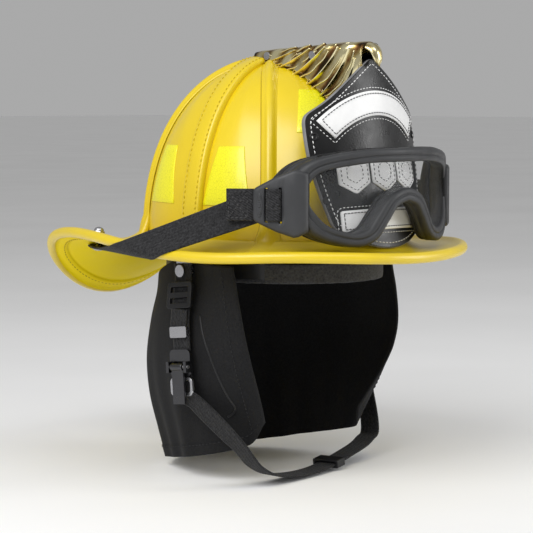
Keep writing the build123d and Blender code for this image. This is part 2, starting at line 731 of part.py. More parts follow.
# Pinion, shaft and knob are one moulding
with BuildPart() as ratchet_knob:
    with BuildSketch(Plane(origin=(0, RATCHET_Y - 2, RATCHET_Z), z_dir=(0, 1, 0))):
        Circle(PINION_RADIUS)
    extrude(amount=4)
    with BuildSketch(Plane(origin=(0, RATCHET_Y + 2, RATCHET_Z), z_dir=(0, 1, 0))):
        Circle(SHAFT_RADIUS)
    extrude(amount=5)
    with BuildSketch(Plane(origin=(0, RATCHET_Y + 7, RATCHET_Z), z_dir=(0, 1, 0))):
        Circle(KNOB_RADIUS)
        with PolarLocations(KNOB_RADIUS, 18):
            Circle(1.4, mode=Mode.SUBTRACT)
    extrude(amount=7)
ratchet_knob.part.label = "ratchet_knob"
export_step(ratchet_knob.part, "parts/ratchet_knob.step")

# Each tail's rack runs on its own side of the pinion
for side, (edge_x, direction, level) in {"right": (-BAND_END_X, 1, 1), "left": (BAND_END_X, -1, -1)}.items():
    with BuildPart() as band_tail:
        rack_z = RATCHET_Z + level * (PINION_RADIUS + 0.3 + RACK_HEIGHT / 2)
        with Locations((edge_x + direction * RACK_LENGTH / 2, RATCHET_Y, rack_z)):
            Box(RACK_LENGTH, 2.4, RACK_HEIGHT)
    band_tail.part.label = f"band_tail_{side}"
    export_step(band_tail.part, f"parts/band_tail_{side}.step")

with BuildPart() as nape_pad:
    with Locations((0, RATCHET_Y - 6.5 - FIT_GAP - 2, RATCHET_Z)):
        Box(62, 4, 34)
    fillet(nape_pad.edges().filter_by(Axis.Y), 5)
nape_pad.part.label = "nape_pad"
export_step(nape_pad.part, "parts/nape_pad.step")

# Webbing over the head: one strap side to side, one front to rear below it
CROWN_STRAP_WIDTH = 20.0
for name, plane, half_span, top, shift in (
    ("side", Plane.XZ.offset(-CROWN_Y - CROWN_STRAP_WIDTH / 2), 77.0, 125.0, 0.0),
    ("long", Plane.YZ.offset(-CROWN_STRAP_WIDTH / 2), 94.0, 121.0, CROWN_Y),
):
    with BuildPart() as crown_strap:
        with BuildSketch(plane):
            with Locations((shift, 0)):
                Ellipse(half_span, top)
                Ellipse(half_span - 1.6, top - 1.6, mode=Mode.SUBTRACT)
                with Locations((0, BAND_HIGH + 1)):
                    Rectangle(400, 300, align=(Align.CENTER, Align.MAX), mode=Mode.SUBTRACT)
        extrude(amount=CROWN_STRAP_WIDTH)
    crown_strap.part.label = f"crown_strap_{name}"
    export_step(crown_strap.part, f"parts/crown_strap_{name}.step")

with BuildPart() as crown_pad:
    with BuildSketch(Plane.XY.offset(110)):
        with Locations((0, CROWN_Y)):
            Circle(20)
    extrude(amount=5.5)
crown_pad.part.label = "crown_pad"
export_step(crown_pad.part, "parts/crown_pad.step")

# Keys that hang the headband from the crown
with BuildPart() as band_keys:
    for bearing in (40, 140, 220, 320):
        turn = math.radians(bearing)
        middle = Vector(85.2 * math.cos(turn), CROWN_Y + 105 * math.sin(turn), 2)
        with BuildSketch(Plane(origin=middle, x_dir=(math.cos(turn), math.sin(turn), 0), z_dir=(0, 0, 1))):
            Rectangle(5, 14)
        extrude(amount=5)
band_keys.part.label = "band_keys"
export_step(band_keys.part, "parts/band_keys.step")


# Neck curtain -----------------------------------------------------------------

with BuildPart() as neck_curtain:
    for step in range(-1, CURTAIN_SECTIONS + 1):
        turn = math.radians(CURTAIN_TURN) * step / CURTAIN_SECTIONS
        bottom = CURTAIN_REAR_Z + (CURTAIN_FRONT_Z - CURTAIN_REAR_Z) * (step / CURTAIN_SECTIONS) ** 2
        out = Vector(-CURTAIN_HALF_WIDTH * math.sin(turn), CURTAIN_HALF_LENGTH * math.cos(turn), 0)
        nape, side = CURTAIN_NAPE_TURNS
        past_nape = (abs(math.degrees(turn)) - nape) / (side - nape)
        top = CURTAIN_TOP_Z - CURTAIN_NAPE_DIP * (1 - min(max(past_nape, 0), 1))
        outer, inner = [], []
        for share, spread in CURTAIN_SPREAD:
            z = top + (bottom - top) * share
            outer.append((spread * out.length + CURTAIN_THICKNESS / 2, z))
            inner.append((spread * out.length - CURTAIN_THICKNESS / 2, z))
        section = Plane(origin=(0, CROWN_Y, 0), x_dir=out, z_dir=out.cross(Vector(0, 0, 1)))
        with BuildSketch(section):
            with BuildLine():
                Spline(*outer)
                Line(outer[-1], inner[-1])
                Spline(*inner)
                Line(inner[0], outer[0])
            make_face()
    loft()
    split(bisect_by=Plane.YZ, keep=Keep.BOTTOM)
    mirror(about=Plane.YZ)
neck_curtain.part.label = "neck_curtain"
export_step(neck_curtain.part, "parts/neck_curtain.step")


# Chin strap -------------------------------------------------------------------

# Plates on the crown's wall under the brim, each with the pin the strap swings on
with BuildPart() as chin_anchors:
    with BuildSketch(Plane(origin=(-94.3, ANCHOR.Y, 0), x_dir=(0, -1, 0), z_dir=(-1, 0, 0))):
        with Locations((0, (ANCHOR.Z + 4) / 2)):
            RectangleRounded(18, 4 - ANCHOR.Z + 12, 4)
    extrude(amount=1.8)
    mirror(about=Plane.YZ)
chin_anchors.part.label = "chin_anchors"
export_step(chin_anchors.part, "parts/chin_anchors.step")

with BuildPart() as anchor_pins:
    with BuildSketch(Plane(origin=(-96.3, ANCHOR.Y, ANCHOR.Z), z_dir=(-1, 0, 0))):
        Circle(ANCHOR_PIN_RADIUS)
    extrude(amount=4.2)
    with BuildSketch(Plane(origin=(-100.5, ANCHOR.Y, ANCHOR.Z), z_dir=(-1, 0, 0))):
        Circle(ANCHOR_PIN_RADIUS + 2)
    extrude(amount=1.2)
    mirror(about=Plane.YZ)
anchor_pins.part.label = "anchor_pins"
export_step(anchor_pins.part, "parts/anchor_pins.step")


def swinging(part_in):
    """The part with a running hole round the pin at each anchor."""
    with BuildPart() as drilled:
        add(part_in)
        with BuildSketch(Plane(origin=(-120, ANCHOR.Y, ANCHOR.Z), z_dir=(1, 0, 0))):
            Circle(ANCHOR_PIN_RADIUS + 0.06)
        extrude(amount=240, mode=Mode.SUBTRACT)
    return drilled.part


FLAT_SIDE = (0, 1, 0)
upper_web = ribbon(
    [((x, y, z), FLAT_SIDE, WEB_WIDTH, WEB_THICKNESS) for x, y, z in CHIN_UPPER]
)
with BuildPart() as chin_strap_right:
    add(swinging(upper_web))
chin_strap_right.part.label = "chin_strap_right"
export_step(chin_strap_right.part, "parts/chin_strap_right.step")

lower_web = ribbon(
    [((x, y, z), FLAT_SIDE, WEB_WIDTH, WEB_THICKNESS) for x, y, z in CHIN_LOWER]
)
with BuildPart() as chin_strap_lower:
    add(swinging(lower_web))
chin_strap_lower.part.label = "chin_strap_lower"
export_step(chin_strap_lower.part, "parts/chin_strap_lower.step")


def facing_ear(z):
    """Plane on the outer face of the right strap at a height; its y is up."""
    stops = [Vector(*point) for point in CHIN_UPPER]
    top, foot = next(pair for pair in zip(stops[1:], stops[2:]) if pair[1].Z <= z or pair[1] == stops[-1])
    share = (z - top.Z) / (foot.Z - top.Z)
    heading = (top - foot).normalized()
    outward = heading.cross(Vector(0, 1, 0)).normalized()
    if outward.X > 0:
        outward = -outward
    side = heading.cross(outward)
    centre = top + (foot - top) * share + outward * (WEB_THICKNESS / 2 + 0.3)
    return Plane(origin=centre, x_dir=side, z_dir=outward)


# Adjuster, the tail it holds and the metal tip of that tail
with BuildPart() as strap_adjuster:
    with BuildSketch(facing_ear(-32)):
        RectangleRounded(27, 22, 3)
        with GridLocations(1, 9, 1, 2):
            Rectangle(20, 4.5, mode=Mode.SUBTRACT)
    extrude(amount=3)
strap_adjuster.part.label = "strap_adjuster"
export_step(strap_adjuster.part, "parts/strap_adjuster.step")

with BuildPart() as adjuster_tail:
    with BuildSketch(facing_ear(-50)):
        Rectangle(WEB_WIDTH - 1, 12)
    extrude(amount=2)
adjuster_tail.part.label = "adjuster_tail"
export_step(adjuster_tail.part, "parts/adjuster_tail.step")

with BuildPart() as strap_tip:
    with BuildSketch(facing_ear(-61)):
        RectangleRounded(WEB_WIDTH, 9, 1.5)
    extrude(amount=3)
strap_tip.part.label = "strap_tip"
export_step(strap_tip.part, "parts/strap_tip.step")

# Quick release: a frame on the strap, a lever on a pin across it, and a ring below
buckle_plane = facing_ear(-86)
with BuildPart() as buckle_body:
    with BuildSketch(buckle_plane):
        RectangleRounded(23, 22, 4)
        with Locations((0, -3)):
            Rectangle(14, 9, mode=Mode.SUBTRACT)
    extrude(amount=2.4)
    with BuildSketch(buckle_plane.offset(2.4)):
        with GridLocations(20, 1, 2, 1):
            with Locations((0, -3)):
                Rectangle(3, 9)
    extrude(amount=5)
    with BuildSketch(Plane(origin=buckle_plane.from_local_coords(Vector(-15, -3, 5)), z_dir=buckle_plane.x_dir)):
        Circle(1.5 + 0.05)
    extrude(amount=30, mode=Mode.SUBTRACT)
buckle_body.part.label = "buckle_body"
export_step(buckle_body.part, "parts/buckle_body.step")

with BuildPart() as buckle_pin:
    with BuildSketch(Plane(origin=buckle_plane.from_local_coords(Vector(-12, -3, 5)), z_dir=buckle_plane.x_dir)):
        Circle(1.5)
    extrude(amount=24)
buckle_pin.part.label = "buckle_pin"
export_step(buckle_pin.part, "parts/buckle_pin.step")

with BuildPart() as buckle_lever:
    lever_edge = Plane(
        origin=buckle_plane.from_local_coords(Vector(-6.5, -3, 5)), x_dir=buckle_plane.y_dir, z_dir=buckle_plane.x_dir
    )
    with BuildSketch(lever_edge):
        Circle(3.2)
        with Locations((0, 0)):
            Rectangle(30, 2.4, align=(Align.MAX, Align.CENTER))
        Circle(1.5 + 0.06, mode=Mode.SUBTRACT)
    extrude(amount=13)
buckle_lever.part.label = "buckle_lever"
export_step(buckle_lever.part, "parts/buckle_lever.step")

with BuildPart() as buckle_ring:
    with BuildSketch(facing_ear(-105)):
        RectangleRounded(25, 15, 4)
        RectangleRounded(20, 10, 2.5, mode=Mode.SUBTRACT)
    extrude(amount=2.6)
buckle_ring.part.label = "buckle_ring"
export_step(buckle_ring.part, "parts/buckle_ring.step")

# Slide on the straight stretch of the lower strap
slide_from, slide_to = Vector(*CHIN_LOWER[SLIDE_RUN]), Vector(*CHIN_LOWER[SLIDE_RUN + 1])
slide_heading = (slide_to - slide_from).normalized()
slide_side = Vector(*FLAT_SIDE)
slide_side = (slide_side - slide_heading * slide_side.dot(slide_heading)).normalized()
slide_plane = Plane(origin=(slide_from + slide_to) / 2, x_dir=slide_side, z_dir=slide_heading)
with BuildPart() as postman_slide:
    with BuildSketch(slide_plane.offset(-6)):
        RectangleRounded(WEB_WIDTH + 6, WEB_THICKNESS + 5, 1.5)
        Rectangle(WEB_WIDTH + 1.2, WEB_THICKNESS + 1.4, mode=Mode.SUBTRACT)
    extrude(amount=12)
postman_slide.part.label = "postman_slide"
export_step(postman_slide.part, "parts/postman_slide.step")
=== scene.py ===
import math

import bmesh
import bpy
import numpy as np
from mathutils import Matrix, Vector


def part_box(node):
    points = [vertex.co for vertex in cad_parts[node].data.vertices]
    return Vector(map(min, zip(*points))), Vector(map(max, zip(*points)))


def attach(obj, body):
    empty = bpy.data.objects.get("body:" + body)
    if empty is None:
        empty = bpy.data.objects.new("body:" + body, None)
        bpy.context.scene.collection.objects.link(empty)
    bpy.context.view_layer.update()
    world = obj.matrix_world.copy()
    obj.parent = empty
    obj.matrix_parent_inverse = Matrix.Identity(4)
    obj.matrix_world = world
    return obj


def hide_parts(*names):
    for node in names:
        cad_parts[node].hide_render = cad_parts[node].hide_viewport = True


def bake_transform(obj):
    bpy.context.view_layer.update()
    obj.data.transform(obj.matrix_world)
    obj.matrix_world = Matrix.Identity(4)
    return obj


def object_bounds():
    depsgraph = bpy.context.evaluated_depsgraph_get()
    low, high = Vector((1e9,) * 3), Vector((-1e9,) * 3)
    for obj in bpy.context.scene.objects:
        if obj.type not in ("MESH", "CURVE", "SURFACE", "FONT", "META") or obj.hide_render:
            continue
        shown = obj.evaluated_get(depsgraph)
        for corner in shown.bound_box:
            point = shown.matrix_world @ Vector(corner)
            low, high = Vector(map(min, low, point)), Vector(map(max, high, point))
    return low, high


# Looks of a traditional fire helmet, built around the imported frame. Sizes are millimetres
# until a mesh is made. Front is -Y, the wearer's right is -X.

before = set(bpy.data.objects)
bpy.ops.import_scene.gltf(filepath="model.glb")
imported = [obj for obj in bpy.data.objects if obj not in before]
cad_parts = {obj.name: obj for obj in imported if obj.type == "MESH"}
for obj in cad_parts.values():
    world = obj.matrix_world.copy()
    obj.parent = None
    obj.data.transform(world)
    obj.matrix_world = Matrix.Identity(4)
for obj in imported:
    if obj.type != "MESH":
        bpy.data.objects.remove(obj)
cad_low, cad_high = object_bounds()

MM = 0.001
UP = np.array((0.0, 0.0, 1.0))
WELD_GAP = 0.00001

# Crown, combs and brim, as in the CAD source
CROWN_HALF_WIDTH, CROWN_HALF_LENGTH, CROWN_HEIGHT = 94.0, 119.0, 160.0
CROWN_POWER = 2.4
CROWN_Y = 5.0
CROWN_WALL = 3.0
CROWN_MIDDLE = np.array((0.0, CROWN_Y, 0.0))
COMB_WIDTH, COMB_RISE = 20.0, 4.4
RIB_WIDTH, RIB_RISE = 8.5, 3.6
RIB_ANGLES = (54.0, 130.0)
# Ellipse angle from the front, lower and upper height, lower and upper width
PATCHES = ((33, 100, 134, 30, 20), (74, 42, 89, 45, 24), (112, 42, 89, 42, 22), (151, 42, 89, 42, 22))
BRIM_EDGE = (
    (0, -162, 3), (-62, -149, 5), (-108, -106, 6), (-132, -52, 4), (-139, 0, 6), (-136, 48, 11),
    (-127, 95, 15), (-114, 140, 14), (-101, 170, 6), (-84, 188, -8), (-50, 200, -32), (0, 205, -45),
)
BRIM_ROOT_Z, BRIM_PLANE_Z, BRIM_ROOT_GAP = 14.0, 1.0, 2.1
BRIM_HALF = 2.0
BRIM_COUNT = 360
BEAD_RADIUS = 4.5
HEM_WIDTH, HEM_THICKNESS = 15.0, 1.1

# Front piece
SHIELD_FOOT = np.array((0.0, -128.0, 8.5))
SHIELD_LEAN = math.radians(8.8)
SHIELD_RADIUS = 127.0
SHIELD_HEIGHT = 153.5
SHIELD_THICKNESS = 3.0
SHIELD_COUNT = 220
PAD_BASE, PAD_TOP = 0.1, 1.3
ARCH_CENTRE, ARCH_RADIUS, ARCH_HEIGHT, ARCH_HALF_ANGLE = np.array((0, 38)), 69.0, 20.0, 41.0

# Goggles
GOGGLE_CENTRE_Y = -11.0
GOGGLE_COUNT = 260
GOGGLE_OUTLINE = (
    (-8, 89), (-45, 88), (-80, 81), (-94, 66), (-96, 50), (-90, 34),
    (-76, 19), (-52, 12), (-34, 17), (-22, 31), (-13, 42), (-3, 46),
)
ARM_START = np.array((-97.5, -104.0, 45.5))
ARM_HEADING = np.array((-15.0, 28.0, 0.0)) / math.hypot(15.0, 28.0)
ARM_OUT = np.cross(UP, ARM_HEADING)

# Curtain; its front edges slant forward to the foot, and stand away at the top
CURTAIN_HALF_WIDTH, CURTAIN_HALF_LENGTH = 100.0, 110.0
CURTAIN_TURN = 122.0
CURTAIN_TOP, CURTAIN_REAR, CURTAIN_FRONT = -5.0, -182.0, -150.0
CURTAIN_NAPE_DIP = 17.0
CURTAIN_SPREAD = (
    (0.0, 0.90), (0.1, 0.915), (0.25, 0.965), (0.45, 1.0), (0.65, 0.975), (0.85, 0.90), (1.0, 0.84),
)
CURTAIN_EDGE_TOP, CURTAIN_EDGE_FOOT = 115.0, 127.0
CURTAIN_FLARE = (
    (0, 0.12, 0.25, 0.4, 0.5, 0.62, 0.75, 0.88, 1), (0.19, 0.17, 0.14, 0.11, 0.09, 0.06, 0.01, -0.05, -0.11),
)
CURTAIN_HALF = 0.75
HEM_SHARE = 0.9335

# Chin strap
WEB_WIDTH, WEB_THICKNESS = 19.0, 1.7
CHIN_UPPER = ((-98, 12, -6), (-98, 11, -20), (-105, 7, -52), (-106.5, 2, -98))
CHIN_LOWER = (
    (-106.0, 1.6, -101.5), (-106.2, -1, -112), (-103.5, -12, -120), (-95, -46, -148), (-79, -52, -168),
    (-51, -51, -179), (-4, -47, -182), (46, -39, -176), (80, -32, -169), (95, -26, -156), (106.5, -2, -98),
    (105, 6, -55), (98, 11, -20), (98, 12, -6),
)


# Small maths -------------------------------------------------------------------


def unit(vectors):
    """Vectors made one long, along the last axis."""
    vectors = np.asarray(vectors, float)
    return vectors / np.maximum(np.linalg.norm(vectors, axis=-1, keepdims=True), 1e-12)


def ease(low, high, value):
    """0 below low, 1 above high, and smooth between."""
    share = np.clip((np.asarray(value, float) - low) / (high - low), 0, 1)
    return share * share * (3 - 2 * share)


def circle(count):
    return np.linspace(0, 2 * math.pi, count, endpoint=False)


def lengths_along(line):
    """Length gone at each point of a line, by its first three values."""
    return np.concatenate(([0.0], np.cumsum(np.linalg.norm(np.diff(line[:, :3], axis=0), axis=1))))


def smooth_line(points, steps, closed=False):
    """Catmull-Rom curve through points of any number of values."""
    points = np.array(points, float)
    if closed:
        padded = np.vstack((points[-1:], points, points[:2]))
    else:
        padded = np.vstack((2 * points[0] - points[1], points, 2 * points[-1] - points[-2]))
    rows = []
    for index in range(len(padded) - 3):
        a, b, c, d = padded[index:index + 4]
        for t in np.linspace(0, 1, steps, endpoint=False):
            bend, twist = 2 * a - 5 * b + 4 * c - d, 3 * b - a - 3 * c + d
            rows.append(0.5 * (2 * b + (c - a) * t + bend * t**2 + twist * t**3))
    if not closed:
        rows.append(points[-1])
    return np.array(rows)


def resample(points, count, closed=False):
    """Points moved to equal steps along their own line."""
    line = np.array(points, float)
    if closed:
        line = np.vstack((line, line[:1]))
    gone = lengths_along(line)
    wanted = np.linspace(0, gone[-1], count + 1)[:-1] if closed else np.linspace(0, gone[-1], count)
    return np.stack([np.interp(wanted, gone, column) for column in line.T], axis=1)


def resample_outline(outline, count):
    """Flat closed outline moved to equal steps."""
    return resample(np.pad(np.array(outline, float), ((0, 0), (0, 1))), count, closed=True)[:, :2]


def ring_spline(points):
    """Twice smooth closed curve through points, as a function of the share of its length in chords."""
    points = np.array(points, float)
    count = len(points)
    chords = np.linalg.norm(np.roll(points, -1, axis=0) - points, axis=1)
    system = np.zeros((count, count))
    right_side = np.zeros_like(points)
    for i in range(count):
        j = (i + 1) % count
        before, after = chords[i - 1], chords[i]
        system[i, i - 1] = 1 / before
        system[i, i] = 2 / before + 2 / after
        system[i, j] = 1 / after
        right_side[i] = 3 * ((points[i] - points[i - 1]) / before**2 + (points[j] - points[i]) / after**2)
    slopes = np.linalg.solve(system, right_side)
    knots = np.concatenate(([0.0], np.cumsum(chords)))

    def at(share):
        place = (share % 1.0) * knots[-1]
        i = min(int(np.searchsorted(knots, place, side="right")) - 1, count - 1)
        j = (i + 1) % count
        t = (place - knots[i]) / chords[i]
        start = (2 * t**3 - 3 * t**2 + 1) * points[i] + (t**3 - 2 * t**2 + t) * chords[i] * slopes[i]
        return start + (3 * t**2 - 2 * t**3) * points[j] + (t**3 - t**2) * chords[i] * slopes[j]

    return at


def inset_outline(outline, distance, reach=1):
    """Flat closed outline moved inward along normals taken over reach points each way."""
    heading = unit(np.roll(outline, -reach, axis=0) - np.roll(outline, reach, axis=0))
    following = np.roll(outline, -1, axis=0)
    area = np.sum(outline[:, 0] * following[:, 1] - following[:, 0] * outline[:, 1])
    return outline + np.stack((-heading[:, 1], heading[:, 0]), axis=1) * (distance if area > 0 else -distance)


# Materials ---------------------------------------------------------------------


def add_node(made, kind, **settings):
    """Node with its own settings and its input sockets set by name."""
    node = made.node_tree.nodes.new(kind)
    for name, value in settings.items():
        if hasattr(node, name):
            setattr(node, name, value)
        else:
            node.inputs[name].default_value = value
    return node


def texture(made, scale, detail=None, roughness=0.5, feature="F1"):
    """Noise where a detail is given, or else cells, by object coordinates."""
    if detail is None:
        node = add_node(made, "ShaderNodeTexVoronoi", feature=feature, Scale=scale)
    else:
        node = add_node(made, "ShaderNodeTexNoise", Scale=scale, Detail=detail, Roughness=roughness)
    place = add_node(made, "ShaderNodeTexCoord").outputs["Object"]
    made.node_tree.links.new(place, node.inputs["Vector"])
    return node.outputs["Distance" if detail is None else "Fac"]


def ramp(made, factor, stops):
    """Colour ramp from (place, colour or grey) stops."""
    node = add_node(made, "ShaderNodeValToRGB")
    elements = node.color_ramp.elements
    while len(elements) < len(stops):
        elements.new(0.5)
    for element, (place, value) in zip(elements, stops):
        element.position = place
        element.color = (*np.broadcast_to(value, 3), 1)
    made.node_tree.links.new(factor, node.inputs["Fac"])
    return node.outputs["Color"]


def joined(made, operation, first, second=0.0):
    node = add_node(made, "ShaderNodeMath", operation=operation)
    for socket, value in zip(node.inputs, (first, second)):
        if hasattr(value, "node"):
            made.node_tree.links.new(value, socket)
        else:
            socket.default_value = value
    return node.outputs["Value"]


def weighted(made, first, first_weight, second, second_weight):
    """Weighted sum of two outputs."""
    parts = [joined(made, "MULTIPLY", *pair) for pair in ((first, first_weight), (second, second_weight))]
    return joined(made, "ADD", *parts)


def feed(made, factor, stops, socket):
    """Ramp of an output into a socket of the shader."""
    shader = made.node_tree.nodes["Principled BSDF"]
    made.node_tree.links.new(ramp(made, factor, stops), shader.inputs[socket])


def emboss(made, height, strength, distance):
    """Bump from a height output, over any earlier one; distance is in metres."""
    node = add_node(made, "ShaderNodeBump", Strength=strength, Distance=distance)
    made.node_tree.links.new(height, node.inputs["Height"])
    normal = made.node_tree.nodes["Principled BSDF"].inputs["Normal"]
    if normal.is_linked:
        made.node_tree.links.new(normal.links[0].from_socket, node.inputs["Normal"])
    made.node_tree.links.new(node.outputs["Normal"], normal)


def surface(name, color, roughness, metallic=0.0, tone=None, shine=None, bumps=(), **sockets):
    """Principled material with its constant values on the shader's own sockets.

    Tone and shine are (texture settings, stops) for colour and roughness. Bumps are (texture settings,
    strength, distance in metres).
    """
    made = bpy.data.materials.new(name)
    made.use_nodes = True
    values = {"Base Color": (*color, 1), "Roughness": roughness, "Metallic": metallic}
    values.update({socket.replace("_", " "): value for socket, value in sockets.items()})
    for socket, value in values.items():
        made.node_tree.nodes["Principled BSDF"].inputs[socket].default_value = value
    for pattern, socket in ((tone, "Base Color"), (shine, "Roughness")):
        if pattern:
            feed(made, texture(made, **pattern[0]), pattern[1], socket)
    for settings, strength, distance in bumps:
        emboss(made, texture(made, **settings), strength, distance)
    return made


def fine(scale, detail, roughness=0.5):
    return {"scale": scale, "detail": detail, "roughness": roughness}


def yellow_leather(name, low, high, gloss, coat):
    """Painted leather; the coat is its clear gloss, left off below the brim. The copy below the brim is the
    same paint in a brighter, more saturated yellow, which is painted light.
    """
    return surface(
        name, low, 0.5, tone=(fine(14, 4), ((0.3, low), (0.7, high))),
        shine=(fine(55, 4), ((0.35, 0.42), (0.75, 0.58))),
        bumps=(({"scale": 620}, 0.10, 0.0004), (fine(130, 5, 0.55), 0.16, 0.0008)),
        Specular_IOR_Level=gloss, Coat_Weight=coat, Coat_Roughness=0.3,
    )


def polished(name, color, low, high):
    """Plated metal with faint handling marks in its polish."""
    return surface(name, color, low, 1.0, shine=(fine(180, 4), ((0.3, low), (0.75, high))),
                   bumps=((fine(60, 3), 0.06, 0.0005),))


def moulded(name, dark, light, low, high, grain=1500):
    """Moulded plastic, rubber or thread with a fine satin grain."""
    return surface(
        name, light, high, tone=(fine(40, 4), ((0.3, dark), (0.7, light))),
        shine=(fine(110, 3), ((0.3, low), (0.7, high))), bumps=((fine(grain, 2), 0.15, 0.0002),),
        Specular_IOR_Level=0.35,
    )


def foam(name, dark, light):
    return surface(name, dark, 0.9, tone=({"scale": 450}, ((0.0, dark), (0.8, light))),
                   bumps=(({"scale": 450}, 0.5, 0.0006),), Specular_IOR_Level=0.2)


def brass():
    """Cast brass, dark where the flutes are deep, by the mesh's own depth attribute."""
    made = surface("cast_brass", (0.75, 0.56, 0.22), 0.22, 1.0)
    depth = add_node(made, "ShaderNodeAttribute", attribute_name="depth").outputs["Fac"]
    stain = weighted(made, depth, 1.0, texture(made, 170, 5), 0.35)
    tones = (
        (0.25, (0.84, 0.76, 0.46)), (0.6, (0.36, 0.27, 0.10)),
        (0.85, (0.12, 0.055, 0.02)), (1.0, (0.03, 0.02, 0.01)),
    )
    feed(made, stain, tones, "Base Color")
    feed(made, stain, ((0.3, 0.16), (1.0, 0.5)), "Roughness")
    emboss(made, texture(made, 420, 4), 0.12, 0.0004)
    return made


def strap_weave(name, dark, light):
    """Twill that follows a strap by its UV map, in threads per centimetre, with loose fibres over it."""
    made = surface(name, dark, 0.75, Sheen_Weight=0.06, Sheen_Roughness=0.5, Specular_IOR_Level=0.25)
    parts = add_node(made, "ShaderNodeSeparateXYZ")
    made.node_tree.links.new(add_node(made, "ShaderNodeUVMap", uv_map="UVMap").outputs["UV"], parts.inputs[0])
    slant = weighted(made, parts.outputs["X"], 1.0, parts.outputs["Y"], 0.6)
    waves = []
    for output, threads in ((slant, 5), (parts.outputs["Y"], 6)):
        waves.append(joined(made, "SINE", joined(made, "MULTIPLY", output, 2 * math.pi * threads)))
    weave = joined(made, "MULTIPLY", *waves)
    fuzz = texture(made, 520, 4, 0.7)
    emboss(made, weighted(made, weave, 0.35, fuzz, 2.0), 0.8, 0.0005)
    feed(made, weighted(made, weave, 0.16, fuzz, 1.0), ((0.38, dark), (0.72, light)), "Base Color")
    return made


def cloth(name, dark, light, scale, distance, sheen):
    """Close woven or brushed cloth by object coordinates, so that any mesh can carry it."""
    made = surface(name, dark, 0.85, Sheen_Weight=sheen, Sheen_Roughness=0.6, Specular_IOR_Level=0.2)
    threads = weighted(made, texture(made, scale), 0.35, texture(made, scale * 0.6, 5, 0.7), 0.9)
    feed(made, threads, ((0.35, dark), (0.85, light)), "Base Color")
    emboss(made, threads, 0.6, distance)
    return made


YELLOW = yellow_leather("yellow_gloss_leather", (0.68, 0.495, 0.001), (0.76, 0.565, 0.002), 0.3, 0.9)
# Below the brim: the same yellow paint, made brighter and more saturated as painted light on the shaded
# underside, with no coat and little specular
YELLOW_BELOW = yellow_leather("yellow_leather_painted_light_below", (0.86, 0.66, 0.0005), (0.93, 0.72, 0.001), 0.08, 0.0)
BLACK_LEATHER = surface(
    "black_polished_leather", (0.02, 0.02, 0.02), 0.35,
    tone=(fine(30, 4), ((0.3, (0.004, 0.004, 0.0045)), (0.75, (0.010, 0.010, 0.0105)))),
    shine=(fine(90, 4), ((0.3, 0.24), (0.75, 0.42))), bumps=(({"scale": 700}, 0.22, 0.0004),),
    Specular_IOR_Level=0.4,
)
WHITE_LEATHER = surface(
    "white_smooth_leather", (0.82, 0.82, 0.82), 0.42,
    tone=(fine(60, 4), ((0.3, 0.78), (0.7, (0.88, 0.88, 0.87)))), bumps=(({"scale": 900}, 0.18, 0.0003),),
)
# Lime tape with the small closed cells of a retroreflective sheet
TAPE_CELLS = {"scale": 420, "feature": "DISTANCE_TO_EDGE"}
REFLECTIVE = surface(
    "lime_reflective_tape", (0.95, 0.90, 0.0), 0.35,
    tone=(TAPE_CELLS, ((0.0, (0.64, 0.60, 0.0)), (0.06, (0.84, 0.79, 0.01)))),
    bumps=((TAPE_CELLS, 0.12, 0.0003),), Coat_Weight=0.3, Coat_Roughness=0.1,
)
BRASS = brass()
STEEL = polished("plated_steel", (0.46, 0.46, 0.48), 0.2, 0.36)
GUNMETAL = polished("blackened_steel", (0.085, 0.085, 0.09), 0.26, 0.42)
RUBBER = moulded("goggle_rubber", (0.028, 0.029, 0.031), (0.042, 0.043, 0.046), 0.38, 0.55)
DARK_RUBBER = moulded("goggle_rubber_dark", (0.005, 0.005, 0.0055), (0.011, 0.011, 0.012), 0.4, 0.55)
PLASTIC = moulded("black_nylon", (0.006, 0.006, 0.0065), (0.014, 0.014, 0.015), 0.32, 0.5)
LENS = surface(
    "clear_lens", (0.22, 0.23, 0.24), 0.04, shine=(fine(60, 2), ((0.3, 0.03), (0.8, 0.09))), Alpha=0.05
)
BLACK_YARN = (0.003, 0.003, 0.0035)
ELASTIC = strap_weave("ribbed_elastic", BLACK_YARN, (0.045, 0.045, 0.048))
WEBBING = strap_weave("woven_webbing", BLACK_YARN, (0.032, 0.032, 0.034))
CURTAIN_CLOTH = cloth("aramid_cloth", BLACK_YARN, (0.013, 0.013, 0.014), 900, 0.0003, 0.02)
LINER_KNIT = cloth("grey_knit", (0.014, 0.014, 0.0155), (0.048, 0.048, 0.05), 600, 0.0008, 0.06)
CAP_FOAM = foam("impact_foam", (0.012, 0.012, 0.013), (0.05, 0.05, 0.052))
GASKET_FOAM = foam("gasket_foam", (0.015, 0.015, 0.016), (0.04, 0.04, 0.042))
CUT_LEATHER = moulded("cut_leather_edge", (0.14, 0.14, 0.15), (0.26, 0.26, 0.27), 0.55, 0.7, 700)
YELLOW_THREAD = moulded("yellow_thread", (0.46, 0.33, 0.005), (0.62, 0.45, 0.01), 0.55, 0.7)
WHITE_THREAD = moulded("white_thread", (0.75, 0.75, 0.74), (0.9, 0.9, 0.9), 0.55, 0.7)
DARK_THREAD = moulded("dark_thread", (0.008, 0.008, 0.009), (0.02, 0.02, 0.021), 0.6, 0.75)
BLACK_THREAD = moulded("black_thread", (0.03, 0.03, 0.031), (0.07, 0.07, 0.072), 0.55, 0.7)


# Mesh building -----------------------------------------------------------------


